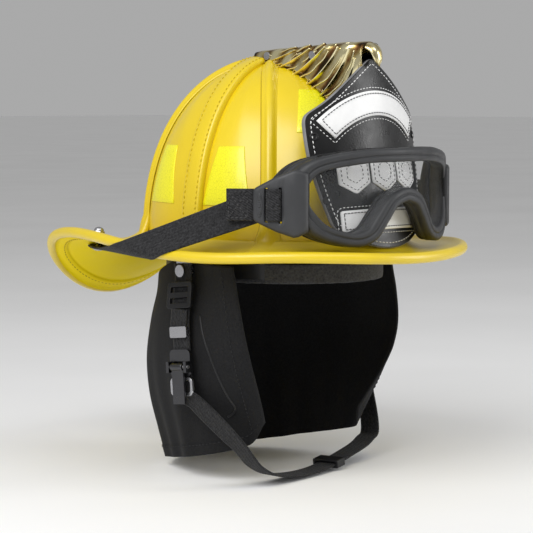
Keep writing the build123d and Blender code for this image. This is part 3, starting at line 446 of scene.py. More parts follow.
def mesh_piece(name, shape, skin, body, replaces=(), slot=None, uvs=None, outward=True):
    """Smooth piece from millimetre (points, faces) that rides on a CAD body, if one is given."""
    points, faces = shape
    data = bpy.data.meshes.new(name)
    data.from_pydata((np.asarray(points, float) * MM).tolist(), [], [list(face) for face in faces])
    if uvs is not None:
        order = np.zeros(len(data.loops), int)
        data.loops.foreach_get("vertex_index", order)
        data.uv_layers.new(name="UVMap").data.foreach_set("uv", np.asarray(uvs, float)[order].ravel())
    data.validate()
    data.shade_smooth()
    if outward:
        work = bmesh.new()
        work.from_mesh(data)
        bmesh.ops.recalc_face_normals(work, faces=work.faces)
        work.to_mesh(data)
        work.free()
    data.materials.append(skin)
    piece = bpy.data.objects.new(name, data)
    bpy.context.scene.collection.objects.link(piece)
    if body:
        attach(piece, body)
    if replaces:
        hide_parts(*replaces)
    return piece


def grid_shape(rows, wrap_rows=False, wrap_columns=False, caps=False):
    """Points and quads of a grid of points, with its first and last row filled if they are caps."""
    rows = np.asarray(rows, float)
    count, columns = rows.shape[:2]
    faces = []
    for i in range(count if wrap_rows else count - 1):
        for j in range(columns if wrap_columns else columns - 1):
            this, following = i * columns, (i + 1) % count * columns
            beside = (j + 1) % columns
            faces.append((this + j, this + beside, following + beside, following + j))
    if caps:
        faces += [tuple(range(columns))[::-1], tuple(range((count - 1) * columns, count * columns))]
    return rows.reshape(-1, 3), faces


def grid_piece(name, rows, skin, body, wrap_rows=False, wrap_columns=False, caps=False, **options):
    """Piece from a grid of points, with UVs in centimetres from the grid's own lengths."""
    rows = np.asarray(rows, float)
    across, along = lengths_along(rows[len(rows) // 2]), lengths_along(rows[:, rows.shape[1] // 2])
    u, v = np.meshgrid(across * 0.1, along * 0.1)
    uvs = np.stack((u.ravel(), v.ravel()), axis=1)
    return mesh_piece(name, grid_shape(rows, wrap_rows, wrap_columns, caps), skin, body, uvs=uvs, **options)


def several(name, shapes, skin, body, **options):
    """One piece from several (points, faces) shapes."""
    points, faces = [], []
    for shape_points, shape_faces in shapes:
        base = len(points)
        points += [tuple(p) for p in shape_points]
        faces += [tuple(base + i for i in f) for f in shape_faces]
    return mesh_piece(name, (points, faces), skin, body, **options)


def stitch_shapes(line, outward, length, gap, thread):
    """Short threads in a row along a line: each is an arched, tapered tube."""
    line = np.asarray(line, float)
    gone = lengths_along(line)
    outward = np.broadcast_to(np.asarray(outward, float), line.shape)
    shapes = []
    pitch = gone[-1] / max(int(gone[-1] / (length + gap)), 1)
    lifts = np.array((-0.05, 0.75, 1.0, 0.75, -0.05)) * thread * 0.8
    radii = np.array((0.35, 0.9, 1.0, 0.9, 0.35)) * thread
    cosines, sines = np.cos(circle(6))[:, None], np.sin(circle(6))[:, None]
    for index in range(round(gone[-1] / pitch)):
        places = (index + 0.5) * pitch + np.linspace(-length / 2, length / 2, 5)
        centre = np.stack([np.interp(places, gone, column) for column in line.T], axis=1)
        out = unit(np.stack([np.interp(places, gone, column) for column in outward.T], axis=1))
        side = unit(np.cross(unit(centre[-1] - centre[0]), out))
        rows = []
        for middle, up, across, lift, radius in zip(centre, out, side, lifts, radii):
            rows.append(middle + up * lift + radius * (cosines * across + sines * up))
        shapes.append(grid_shape(rows, wrap_columns=True, caps=True))
    return shapes


def loft_loops(loops):
    """Points and faces through equal loops, the first and last filled with a fan."""
    loops = np.asarray(loops, float)
    count, columns = loops.shape[:2]
    points, faces = grid_shape(loops, wrap_columns=True)
    for row, hub, flip in ((0, len(points), True), (count - 1, len(points) + 1, False)):
        for j in range(columns):
            first, second = row * columns + j, row * columns + (j + 1) % columns
            faces.append((hub, second, first) if flip else (hub, first, second))
    return np.vstack((points, loops[0].mean(axis=0), loops[-1].mean(axis=0))), faces


def turned(base, axis, profile, count):
    """Shape turned round an axis, through (height, radius, how hexagonal) of a profile."""
    side = unit(np.cross(axis, (0, 1, 0)))
    front = np.cross(axis, side)
    loops = []
    for height, radius, hexed in profile:
        loop = []
        for t in circle(count):
            corner = math.cos(math.pi / 6) / math.cos(t % (math.pi / 3) - math.pi / 6)
            reach = radius * (1 - hexed + hexed * corner)
            loop.append(base + axis * height + side * (reach * math.cos(t)) + front * (reach * math.sin(t)))
        loops.append(loop)
    return loft_loops(loops)


def ribbed_swell(thickness, ribs, ripple, count, edge):
    """Half thickness of a ribbed strap at equal steps over its width, thin at its edges."""
    places = np.linspace(-1, 1, count)
    half = thickness / 2 + ripple * np.cos(places * math.pi * ribs)
    return half * np.where(np.abs(places) > 0.999, edge, 1.0)


def ribbon(name, stations, steps, thickness, skin, body, ribs, ripple, **options):
    """Ribbed strap through stations of centre, side direction and width."""
    line = smooth_line([[*c, *s, w] for c, s, w in stations], steps)
    swell = ribbed_swell(thickness, ribs, ripple, ribs * 4 + 1, 0.55)
    places = np.linspace(-1, 1, len(swell))
    rows = []
    for row, heading in zip(line, unit(np.gradient(line[:, :3], axis=0))):
        side = unit(row[3:6])
        side = unit(side - heading * (side @ heading))
        across = row[:3] + np.outer(places * row[6] / 2, side)
        rise = np.outer(swell, np.cross(side, heading))
        rows.append(np.vstack((across + rise, (across - rise)[::-1])))
    grid_piece(name, rows, skin, body, wrap_columns=True, caps=True, **options)


def dress(nodes, skin, bevel):
    """CAD nodes that stay: welded, bevelled by a modifier, and given a material."""
    for name in nodes:
        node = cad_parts[name]
        node.data.materials.clear()
        node.data.materials.append(skin)
        if bevel:
            node.modifiers.new("weld", "WELD").merge_threshold = WELD_GAP
            edge = node.modifiers.new("edge", "BEVEL")
            edge.width = bevel * MM
            edge.segments = 2
            edge.limit_method = "ANGLE"
            edge.angle_limit = math.radians(35)
            edge.use_clamp_overlap = True
            edge.harden_normals = True


# Camera ------------------------------------------------------------------------

CAMERA_AZIMUTH, CAMERA_ELEVATION = math.radians(-47), math.radians(5)
CAMERA_DISTANCE = 1.6
AIM_RIGHT, AIM_UP = -0.0072, -0.0140
back = Vector((
    math.sin(CAMERA_AZIMUTH) * math.cos(CAMERA_ELEVATION),
    -math.cos(CAMERA_AZIMUTH) * math.cos(CAMERA_ELEVATION),
    math.sin(CAMERA_ELEVATION),
))
right = Vector((math.cos(CAMERA_AZIMUTH), math.sin(CAMERA_AZIMUTH), 0))
camera_data = bpy.data.cameras.new("camera")
camera_data.lens = 127.5
camera_data.sensor_width = 36
camera = bpy.data.objects.new("camera", camera_data)
camera.location = right * AIM_RIGHT + back.cross(right) * AIM_UP + back * CAMERA_DISTANCE
camera.rotation_mode = "QUATERNION"
camera.rotation_quaternion = (-back).to_track_quat("-Z", "Y")
bpy.context.scene.collection.objects.link(camera)
bpy.context.scene.camera = camera


# Crown -------------------------------------------------------------------------


def crown_point(turn, rise, lift=0.0):
    """Point on the crown: turn from the front by the right side, rise from 0 at the foot to 90 at the top."""
    turn, rise = np.radians(turn), np.radians(rise)
    point = np.stack(np.broadcast_arrays(
        -CROWN_HALF_WIDTH * np.cos(rise) * np.sin(turn),
        CROWN_Y - CROWN_HALF_LENGTH * np.cos(rise) * np.cos(turn),
        CROWN_HEIGHT * np.sin(rise) ** (2 / CROWN_POWER),
    ), axis=-1)
    return point + crown_normal(point) * lift


def crown_normal(point):
    x, y, z = point[..., 0], point[..., 1] - CROWN_Y, np.maximum(point[..., 2], 0)
    return unit(np.stack((
        2 * x / CROWN_HALF_WIDTH**2, 2 * y / CROWN_HALF_LENGTH**2,
        CROWN_POWER * z ** (CROWN_POWER - 1) / CROWN_HEIGHT**CROWN_POWER,
    ), axis=-1))


# Level directions of the combs and ribs from the crown's middle: front, right, rear, left, then ribs in pairs
COMB_BEARINGS = [np.array(b, float) for b in ((0, -1, 0), (-1, 0, 0), (0, 1, 0), (1, 0, 0))]
RIB_BEARINGS = []
for rib_turn in np.radians(RIB_ANGLES):
    rib_heading = unit((-CROWN_HALF_WIDTH * math.sin(rib_turn), -CROWN_HALF_LENGTH * math.cos(rib_turn), 0))
    RIB_BEARINGS += [rib_heading, rib_heading * (-1, 1, 1)]


def band_gap(points, bearing, half_width):
    """Level distance from points to the edge of a band that runs out along a bearing."""
    level = points - CROWN_MIDDLE
    across = np.abs(level[..., 0] * bearing[1] - level[..., 1] * bearing[0])
    return np.hypot(np.maximum(across - half_width, 0), np.maximum(-(level @ bearing), 0))


def on_crown(points, lift=0.0):
    """Points of the crown moved out by a lift and by their panel's swell, which is least at its seams."""
    gaps = [band_gap(points, b, COMB_WIDTH / 2) for b in COMB_BEARINGS]
    gaps += [band_gap(points, b, RIB_WIDTH / 2) for b in RIB_BEARINGS]
    gap = np.min(gaps, axis=0)
    groove = -0.5 * np.exp(-(gap / 2.2) ** 2)
    swell = 1.5 * ease(0, 22, gap) * ease(5, 40, points[..., 2]) + groove
    return points + crown_normal(points) * (swell + lift)[..., None]


CROWN_TURNS = 360
crown_rises = np.degrees(np.arcsin(np.linspace(0.0, 1, 140) ** 0.9)) * 0.9985
turn_grid, rise_grid = np.meshgrid(np.arange(CROWN_TURNS), crown_rises)
crown_inner = crown_point(turn_grid[::-6], rise_grid[::-6], -CROWN_WALL)
crown_rows = np.concatenate((on_crown(crown_point(turn_grid, rise_grid)), crown_inner))
mesh_piece("crown", grid_shape(crown_rows, True, True), YELLOW, "shell", ("crown_shell",), "yellow_leather")


# Brim --------------------------------------------------------------------------

brim_edge = ring_spline([*BRIM_EDGE, *[(-x, y, z) for x, y, z in BRIM_EDGE[-2:0:-1]]])


def brim_station(along):
    """Root and edge of the brim, from the front at 0 by the right side to the rear at 1 and on to 2."""
    folded = along if along <= 1 else 2 - along
    edge = np.array(brim_edge(folded / 2))
    turn = math.radians(180 * folded)
    root = np.array((
        -(CROWN_HALF_WIDTH + BRIM_ROOT_GAP) * math.sin(turn),
        CROWN_Y - (CROWN_HALF_LENGTH + BRIM_ROOT_GAP) * math.cos(turn), 0,
    ))
    mirror = (-1 if along > 1 else 1, 1, 1)
    return root * mirror, edge * mirror


def brim_height(share, edge_z):
    flare = (BRIM_ROOT_Z - BRIM_PLANE_Z) * (1 - share) ** 5
    return BRIM_PLANE_Z + (edge_z - BRIM_PLANE_Z) * share + flare


def brim_point(along, share, drop=0.0):
    root, edge = brim_station(along)
    level = root + (edge - root) * share
    return np.array((level[0], level[1], brim_height(share, edge[2]) - drop))


TOP_SHARES = (0, 0.02, 0.045, 0.075, 0.11, 0.16, 0.22, 0.3, 0.4, 0.5, 0.6, 0.7, 0.8, 0.88, 0.94)
# Distance in from the edge and extra thickness, over the hem to where it ends
HEM_STEPS = (
    (7, HEM_THICKNESS), (11, HEM_THICKNESS), (HEM_WIDTH - 0.6, HEM_THICKNESS), (HEM_WIDTH, 0.4),
    (HEM_WIDTH + 0.7, -0.25), (HEM_WIDTH + 2.4, 0),
)


def brim_section(along):
    """Closed section of the brim: top, rolled edge, hem below, underside."""
    root, edge = brim_station(along)
    out = (edge - root) * (1, 1, 0)
    span = math.hypot(out[0], out[1])

    def sheet(share, side, extra=0.0):
        rise = brim_height(share + 0.001, edge[2]) - brim_height(share - 0.001, edge[2])
        slope = rise / (0.002 * span)
        half = (BRIM_HALF + extra) / math.hypot(1, slope)
        return share * span - side * slope * half, brim_height(share, edge[2]) + side * half

    top_reach, low_reach = 1 - (BEAD_RADIUS - 0.6) / span, 1 - (HEM_WIDTH + 5) / span
    flat = [sheet(share * top_reach, 1) for share in TOP_SHARES]
    for turn in np.radians(range(140, -161, -20)):
        flat.append((span + BEAD_RADIUS * math.cos(turn), edge[2] + BEAD_RADIUS * math.sin(turn)))
    flat += [sheet(1 - inset / span, -1, extra) for inset, extra in HEM_STEPS]
    flat += [sheet(share * low_reach, -1) for share in TOP_SHARES[::-1]]
    return [root * (1, 1, 0) + out / span * r + UP * z for r, z in flat]


brim_stations = [2 * k / BRIM_COUNT for k in range(BRIM_COUNT + 1)]
brim_rows = np.array([brim_section(along) for along in brim_stations[:-1]])
brim_piece = grid_piece(
    "brim_leather", brim_rows, YELLOW, "shell", wrap_rows=True, wrap_columns=True,
    replaces=("brim", "brim_bead"), slot="yellow_leather",
)
# Faces from the bead's lower side inward take the brighter underside copy of the yellow: painted light
brim_piece.data.materials.append(YELLOW_BELOW)
FIRST_BELOW = len(TOP_SHARES) + 14
for polygon in brim_piece.data.polygons:
    if polygon.index % brim_rows.shape[1] >= FIRST_BELOW:
        polygon.material_index = 1

hem_seam = []
for along in brim_stations:
    root, edge = brim_station(along)
    seam_share = 1 - (HEM_WIDTH - 3.0) / math.hypot(*(edge - root)[:2])
    hem_seam.append(brim_point(along, seam_share, BRIM_HALF + 0.05 + HEM_THICKNESS))
hem_threads = stitch_shapes(hem_seam, -UP, 3.2, 1.6, 0.45)
several("brim_hem_stitches", hem_threads, YELLOW_THREAD, "shell", outward=False)


# Combs, ribs and their stitching --------------------------------------------------


def brim_along(bearing):
    """Place along the brim whose root lies on a bearing from the crown's middle."""

    def miss(along):
        heading = unit(brim_station(along)[0] - CROWN_MIDDLE)
        return np.linalg.norm(np.cross(heading, bearing)) + (heading @ bearing < 0)

    return min(np.linspace(0, 2, 721), key=miss)


def band_line(bearing, start, foot_share, count=90):
    """Centre line of a comb or rib: down the crown and a little way out on the brim, with its normals."""
    line, outs = [], []
    side = np.cross(UP, bearing)
    level = bearing[:2] / (CROWN_HALF_WIDTH, CROWN_HALF_LENGTH)
    turn = math.degrees(math.atan2(-level[0], -level[1]))
    for share in np.linspace(start * math.hypot(*level), 1, count):
        point = crown_point(turn, math.degrees(math.acos(min(share, 1))))
        if point[2] < 20:
            break
        line.append(point)
        outs.append(crown_normal(point))
    along = brim_along(bearing)
    for share in np.linspace(0.05, foot_share, 8):
        before, point, after = (brim_point(along, share + step, -BRIM_HALF) for step in (-0.02, 0, 0.02))
        normal = unit(np.cross(side, after - before))
        line.append(point)
        outs.append(normal if normal[2] > 0 else -normal)
    line = resample(np.hstack((line, outs)), count)
    return line[:, :3], unit(line[:, 3:]), side


# Half profiles, of shares of half the width and of the rise, from the foot to the middle
COMB_PROFILE = (
    (-1.0, -0.35), (-0.985, 0.25), (-0.94, 0.62), (-0.86, 0.86), (-0.74, 0.97), (-0.66, 0.93), (-0.58, 0.99),
    (-0.3, 1.06), (0.0, 1.08),
)
RIB_PROFILE = (
    (-1.9, -0.2), (-1.5, 0.02), (-1.15, 0.14), (-0.9, 0.42), (-0.62, 0.8), (-0.3, 0.98), (0, 1.04),
)


def crown_drop(points, centre):
    """Shift that lays the flat width of a band onto the crown's own curve."""
    if centre[2] < 24:
        return np.zeros_like(points)
    size = np.array((CROWN_HALF_WIDTH, CROWN_HALF_LENGTH))
    shares = (((points - CROWN_MIDDLE)[:, :2] / size) ** 2).sum(axis=1)
    level = (centre - CROWN_MIDDLE)[:2]
    excess = (shares - ((level / size) ** 2).sum()).clip(0, None)
    bend = excess / max(2 * math.hypot(*(level / size**2)), 6e-3)
    return -np.outer(np.clip(bend, 0, 1.5), crown_normal(centre)) * 0.8


def band_piece(name, bearing, start, foot_share, width, rise, half_profile, fade, flare):
    """Raised band over the crown with a rounded profile, low at its foot where it meets the brim."""
    line, outs, side = band_line(bearing, start, foot_share)
    profile = [*half_profile, *[(-x, z) for x, z in half_profile[-2::-1]]]
    rows = []
    for share, place, out in zip(np.linspace(0, 1, len(line)), line, outs):
        fading = float(ease(1 - fade, 1, share))
        half = width / 2 * (1 + flare * fading)
        sunk = -0.6 - 5.0 * math.exp(-((place[2] - 18) / 9) ** 2)
        lift = rise * (1 - fading * 0.92)
        heights = [z * lift + (0.3 if z > 0 else sunk) for _, z in profile]
        row = np.array([place + side * (x * half) + out * h for (x, _), h in zip(profile, heights)])
        rows.append(row + crown_drop(row, row[len(profile) // 2]))
    rows = np.array(rows)
    grid_piece(f"{name}_leather", rows, YELLOW, "shell", wrap_columns=True, caps=True, replaces=(name,),
               slot="yellow_leather")
    return outs, rows


# Columns of the comb's whole profile that its two seams follow
COMB_SEAMS = (5, 11)
comb_threads = []
for place, bearing in zip(("front", "right", "rear", "left"), COMB_BEARINGS):
    start = 0.5 if place in ("front", "rear") else COMB_WIDTH / 2 - 1.0
    outs, rows = band_piece(
        f"comb_{place}", bearing, start, 0.17, COMB_WIDTH, COMB_RISE, COMB_PROFILE, 0.16, 0.15
    )
    for column in COMB_SEAMS:
        comb_threads += stitch_shapes(rows[4:-6, column], outs[4:-6], 2.6, 1.7, 0.5)
several("comb_stitches", comb_threads, YELLOW_THREAD, "shell", replaces=("comb_cap",), outward=False)
for place, bearing in zip(("front_right", "front_left", "rear_right", "rear_left"), RIB_BEARINGS):
    band_piece(f"rib_{place}", bearing, 24, 0.30, RIB_WIDTH, RIB_RISE, RIB_PROFILE, 0.20, 0.9)


# Reflective patches ---------------------------------------------------------------


def wall_point(angle, across, z, lift):
    """Point on the crown's wall at height z, stepped sideways from an ellipse angle."""
    turn = math.radians(angle)
    scale = np.array((1 / CROWN_HALF_WIDTH, 1 / CROWN_HALF_LENGTH, 0))
    outward = unit((-math.sin(turn), -math.cos(turn), 0) * scale)
    tangent = np.array((outward[1], -outward[0], 0))
    foot = np.array((-CROWN_HALF_WIDTH * math.sin(turn), -CROWN_HALF_LENGTH * math.cos(turn), 0))
    base = foot + tangent * across
    a = np.sum((outward * scale) ** 2)
    b = 2 * np.sum(base * outward * scale**2)
    c = np.sum((base * scale) ** 2) - (1 - (z / CROWN_HEIGHT) ** CROWN_POWER)
    step = (-b + math.sqrt(max(b * b - 4 * a * c, 0))) / (2 * a)
    point = base + outward * step + CROWN_MIDDLE + UP * z
    return on_crown(point[None], np.array([lift]))[0]


def patch_loops(low, high, low_width, high_width):
    """Loops of (across, height, lift) over a patch, from below its edge to its middle."""
    loops = []
    for lift, inset in ((-0.3, 0), (0.45, 0.0), (0.6, 0.35)):
        wide, narrow = low_width / 2 - inset, high_width / 2 - inset
        foot, head = low + inset, high - inset
        corners = np.array(((-wide, foot), (wide, foot), (narrow, head), (-narrow, head)))
        loop = []
        for start, stop in zip(corners, np.roll(corners, -1, axis=0)):
            steps = np.linspace(0, 1, 12, endpoint=False)
            loop += [(*(start + (stop - start) * t), lift) for t in steps]
        loops.append(loop)
    middle_z = (low + high) / 2
    for share in (0.8, 0.6, 0.4, 0.2):
        loops.append([(x * share, middle_z + (z - middle_z) * share, 0.6) for x, z, _ in loops[2]])
    return loops


patch_shapes = []
for angle, *sizes in PATCHES:
    loops = np.array([[wall_point(angle, *spot) for spot in loop] for loop in patch_loops(*sizes)])
    patch_shapes += [loft_loops(loops), loft_loops(loops * (-1, 1, 1))]
several(
    "reflective_tape", patch_shapes, REFLECTIVE, "shell", replaces=("reflective_patches",), slot="reflective"
)


# Front piece ----------------------------------------------------------------------

SHIELD_OUT = np.array((0.0, -math.cos(SHIELD_LEAN), math.sin(SHIELD_LEAN)))
SHIELD_UP = np.array((0.0, math.sin(SHIELD_LEAN), math.cos(SHIELD_LEAN)))


def shield_point(u, v, lift=0.0):
    """Point on the curved front piece: u across, v up, lift out of its front face."""
    depth = math.sqrt(max((SHIELD_RADIUS + lift) ** 2 - u * u, 0)) - SHIELD_RADIUS
    return SHIELD_FOOT + np.array((u, 0, 0)) + SHIELD_UP * v + SHIELD_OUT * depth


def shield_outline():
    """Outline of the front piece, from the foot up the wearer's right side, over the top and back."""
    arc_radius = 82.9
    foot = [(-math.sqrt(arc_radius**2 - (arc_radius - v) ** 2), v) for v in (0, 1, 4, 10)]
    side = smooth_line([(-54, 20), (-61, 47), (-66, 76), (-67, 104), (-65, 111)], 8)
    crest = smooth_line([(-65, 111), (-50, 119.5), (-36, 129.5), (-20, 141), (-6, 150.5)], 6)
    half = [*foot, *side[:-1].tolist(), *crest.tolist(), (0, SHIELD_HEIGHT)]
    outline = resample_outline([*half, *[(-x, v) for x, v in half[-2:0:-1]]], SHIELD_COUNT)
    for _ in range(3):
        outline = (np.roll(outline, 1, axis=0) + 2 * outline + np.roll(outline, -1, axis=0)) / 4
    return outline


def shield_loop(outline, lift, share=1.0, middle=(0, 0)):
    """Loop of points over the front piece, drawn in toward a middle by a share."""
    return [shield_point(*(middle + (p - middle) * share), lift) for p in outline]


SHIELD_EDGE = shield_outline()
SHIELD_MIDDLE = np.array((0, 70))
SHIELD_SHARES = (0.96, 0.91, 0.84, 0.72, 0.58, 0.44, 0.3, 0.15)
shield_loops = []
for share in SHIELD_SHARES[::-1]:
    shield_loops.append(shield_loop(SHIELD_EDGE, -SHIELD_THICKNESS, share, SHIELD_MIDDLE))
for inset, lift in ((0.5, -SHIELD_THICKNESS), (0.0, -2.6), (0.0, -0.5), (0.4, 0.0), (1.2, 0.05)):
    shield_loops.append(shield_loop(inset_outline(SHIELD_EDGE, inset), lift))
shield_loops += [shield_loop(SHIELD_EDGE, 0.0, share, SHIELD_MIDDLE) for share in SHIELD_SHARES]
shield = mesh_piece(
    "front_piece_leather", loft_loops(shield_loops), BLACK_LEATHER, "shell", ("front_shield",),
    "black_leather",
)
shield.data.materials.append(CUT_LEATHER)
FIRST_CUT_ROW = len(SHIELD_SHARES) + 1
for polygon in shield.data.polygons[FIRST_CUT_ROW * SHIELD_COUNT:(FIRST_CUT_ROW + 2) * SHIELD_COUNT]:
    polygon.material_index = 1


def shield_stitch(outline, lift, length, gap, thread):
    line = shield_loop(outline, lift)
    return stitch_shapes([*line, line[0]], SHIELD_OUT, length, gap, thread)


def shield_pad(outline, middle):
    """Points and faces of a flat leather appliqué with a soft cut edge."""
    inner = inset_outline(outline, 0.45)
    edges = ((outline, PAD_BASE - 0.2), (outline, PAD_TOP - 0.45), (inner, PAD_TOP))
    loops = [shield_loop(*edge) for edge in edges]
    for share in (0.82, 0.64, 0.46, 0.28, 0.12):
        loops.append(shield_loop(inner, PAD_TOP, share, np.array(middle)))
    return loft_loops(loops)


def polygon_outline(corners, steps, soften):
    """Closed outline through corners, each a little rounded."""
    corners = np.array(corners, float)
    outline = []
    for before, here, after in zip(np.roll(corners, 1, axis=0), corners, np.roll(corners, -1, axis=0)):
        enter, leave = here + unit(before - here) * soften, here + unit(after - here) * soften
        outline += [(1 - t) ** 2 * enter + 2 * t * (1 - t) * here + t**2 * leave for t in (0, 0.5, 1)]
        stop = after + unit(here - after) * soften
        outline += [leave + (stop - leave) * t for t in np.linspace(0, 1, steps + 1)[1:-1]]
    return np.array(outline)


def arch_point(angle, height):
    return ARCH_CENTRE + (ARCH_RADIUS + height) * np.array((math.cos(angle), math.sin(angle)))


def arch_angles(inset, count):
    """Angles over the arched banner, from the wearer's right, kept an inset away from its ends."""
    half = ARCH_HALF_ANGLE - math.degrees(inset / ARCH_RADIUS)
    return np.radians(90 + np.linspace(half, -half, count))


def arch_outline(inset):
    angles = arch_angles(inset, 41)
    outer = [arch_point(a, ARCH_HEIGHT - inset) for a in angles[::-1]]
    return np.array([*[arch_point(a, inset) for a in angles], *outer])


# The arched banner is rows across its height, since it bends too far for a fan
ARCH_SOFT = 0.4
arch_flat = [(h, PAD_TOP) for h in np.linspace(ARCH_SOFT, ARCH_HEIGHT - ARCH_SOFT, 6)]
arch_section = [
    (0, PAD_BASE - 0.2), (0, PAD_TOP - ARCH_SOFT), *arch_flat, (ARCH_HEIGHT, PAD_TOP - ARCH_SOFT),
    (ARCH_HEIGHT, PAD_BASE - 0.2),
]
arch_rows = []
for angle in arch_angles(0.0, 61):
    arch_rows.append([shield_point(*arch_point(angle, height), lift) for height, lift in arch_section])
mesh_piece("top_banner", grid_shape(arch_rows, wrap_columns=True, caps=True), WHITE_LEATHER, "shell",
           ("shield_top_banner",), "white_leather")
bottom_outline = polygon_outline([(-48, 15.5), (48, 15.5), (48, 32.5), (-48, 32.5)], 16, 2)
mesh_piece("bottom_banner", shield_pad(bottom_outline, (0, 24)), WHITE_LEATHER, "shell",
           ("shield_bottom_banner",), "white_leather")

PLATE_HEIGHT, PLATE_RADIUS = 62, 17
STITCH_LIFT = PAD_TOP + 0.05
plate_spokes = [np.array((math.sin(a), math.cos(a))) for a in np.radians(range(300, -1, -60))]
plate_shapes, banner_threads = [], []
for across in (-32, 0, 32):
    middle = np.array((across, PLATE_HEIGHT))
    corners = [middle + PLATE_RADIUS * spoke for spoke in plate_spokes]
    outline = polygon_outline(corners, 6, 1.5)
    inner = polygon_outline([middle + (corner - middle) * 0.5 for corner in corners], 5, 1)
    plate_shapes.append(shield_pad(outline, middle))
    banner_threads += shield_stitch(inset_outline(outline, 2.4), STITCH_LIFT, 2.2, 1.4, 0.32)
    banner_threads += shield_stitch(inner, STITCH_LIFT, 2.0, 1.3, 0.3)
several("plates", plate_shapes, WHITE_LEATHER, "shell", replaces=("shield_plates",), slot="white_leather")

EDGE_SEAM, BANNER_SEAM = 4.2, 2.6
seam = inset_outline(SHIELD_EDGE, EDGE_SEAM)
room = np.linalg.norm(seam[:, None] - SHIELD_EDGE[None], axis=2).min(axis=1)
white_threads = shield_stitch(seam[room > EDGE_SEAM - 0.2], 0.05, 2.6, 1.3, 0.42)
for outline in (arch_outline(-BANNER_SEAM), inset_outline(bottom_outline, -BANNER_SEAM)):
    white_threads += shield_stitch(outline, 0.05, 2.2, 1.3, 0.36)
several("front_piece_stitches", white_threads, WHITE_THREAD, "shell", outward=False)
for outline in (arch_outline(2.2), inset_outline(bottom_outline, 2.2)):
    banner_threads += shield_stitch(outline, STITCH_LIFT, 2.6, 0.5, 0.4)
several("banner_stitches", banner_threads, BLACK_THREAD, "shell", outward=False)

EYELET_PROFILE = ((3.4, 0.0), (3.3, 0.5), (2.7, 0.85), (2.0, 0.7), (1.6, 0.1), (1.5, -1.2))
eyelet_turns = np.stack((np.cos(circle(20)), np.sin(circle(20))), axis=1)
eyelets = []
for place in ((-61.5, 93), (61.5, 93), (-57, 42), (57, 42)):
    eyelets.append(loft_loops([shield_loop(place + eyelet_turns * r, lift) for r, lift in EYELET_PROFILE]))
several("front_piece_eyelets", eyelets, DARK_RUBBER, "shell", replaces=("shield_rivets",), outward=False)


# Brass holder ---------------------------------------------------------------------

HOLDER_REAR, HOLDER_FRONT = 8, -104
HOLDER_ACROSS = 64
HOLDER_HALF = 17.0
NOSE_START, NOSE_LENGTH, NOSE_NARROWING = -70, 46.0, 9.0
# Heights of the crest at its y
HOLDER_CREST = ((-116, -111, -104, -70, -30, 8), (165, 169, 172, 171, 168.5, 166.5))
# Fall of the crest to its shoulder, from there round to the wall, and of the two
SHOULDER_DROP, ROUND_DROP, WALL_DROP = 2.2, 4.8, 7


def holder_half(y):
    return HOLDER_HALF - NOSE_NARROWING * max(NOSE_START - y, 0) / NOSE_LENGTH


def holder_top(y):
    return float(np.interp(y, *HOLDER_CREST))


def holder_foot(y):
    """Height where the wall ends: on the crown, or behind the front piece."""
    inside = 1 - (holder_half(y) / CROWN_HALF_WIDTH) ** 2 - ((y - CROWN_Y) / CROWN_HALF_LENGTH) ** 2
    crown = CROWN_HEIGHT * max(inside, 0.02) ** (1 / CROWN_POWER) if inside > 0 else 100
    shield_back = 110 + (y + 100) * -1.6
    return min(max(crown + 1.0, shield_back if y < -84 else 0, 112), holder_top(y) - 14)


def holder_point(y, column):
    """Point of the casting and how deep it lies; columns run over the crest from foot to foot."""
    half, top, foot = holder_half(y), holder_top(y), holder_foot(y)
    t = column / HOLDER_ACROSS * 2 - 1
    gone = abs(t) * (top - WALL_DROP - foot + half + 4)
    if gone < half - 1:
        x, z = gone, top - SHOULDER_DROP * (gone / half) ** 2
    elif gone < half + 5:
        turn = (gone - half + 1) / 6 * math.pi / 2
        x, z = half - 1 + math.sin(turn), top - SHOULDER_DROP - ROUND_DROP * (1 - math.cos(turn))
    else:
        x, z = half, max(top - WALL_DROP - (gone - half - 5), foot)
    rearward = HOLDER_REAR - y
    vane = math.sin((gone * 0.9 + rearward * 1.2) * 0.3)
    scale = math.sin(rearward * 0.09 - gone * 0.05)
    depth = 0.3 * (1 - vane) + 0.2 * (1 - scale)
    fold = depth * 2.0 * min(1.0, (column % HOLDER_ACROSS) / 2 + 0.2)
    mirror = np.array((math.copysign(1, t), 1, 1))
    out = unit((x / half * 0.9, 0, 0.9 * (1 - x / half) + 0.05))
    return (np.array((x, y, z)) - out * fold) * mirror, depth


def give_depth(piece, values):
    """Store how deep each point of a casting lies, for its patina."""
    padded = np.zeros(len(piece.data.vertices), np.float32)
    padded[:len(values)] = values
    piece.data.attributes.new("depth", "FLOAT", "POINT").data.foreach_set("value", padded)


holder_grid = []
for y in np.linspace(HOLDER_REAR, HOLDER_FRONT, 150):
    holder_grid.append([holder_point(y, column) for column in range(HOLDER_ACROSS + 1)])
holder = grid_piece(
    "holder_cast", [[point for point, _ in row] for row in holder_grid], BRASS, "shell",
    replaces=("front_holder",), slot="brass", outward=False,
)
give_depth(holder, [depth for row in holder_grid for _, depth in row])
thicken = holder.modifiers.new("wall", "SOLIDIFY")
thicken.thickness = 0.0022
thicken.offset = -1


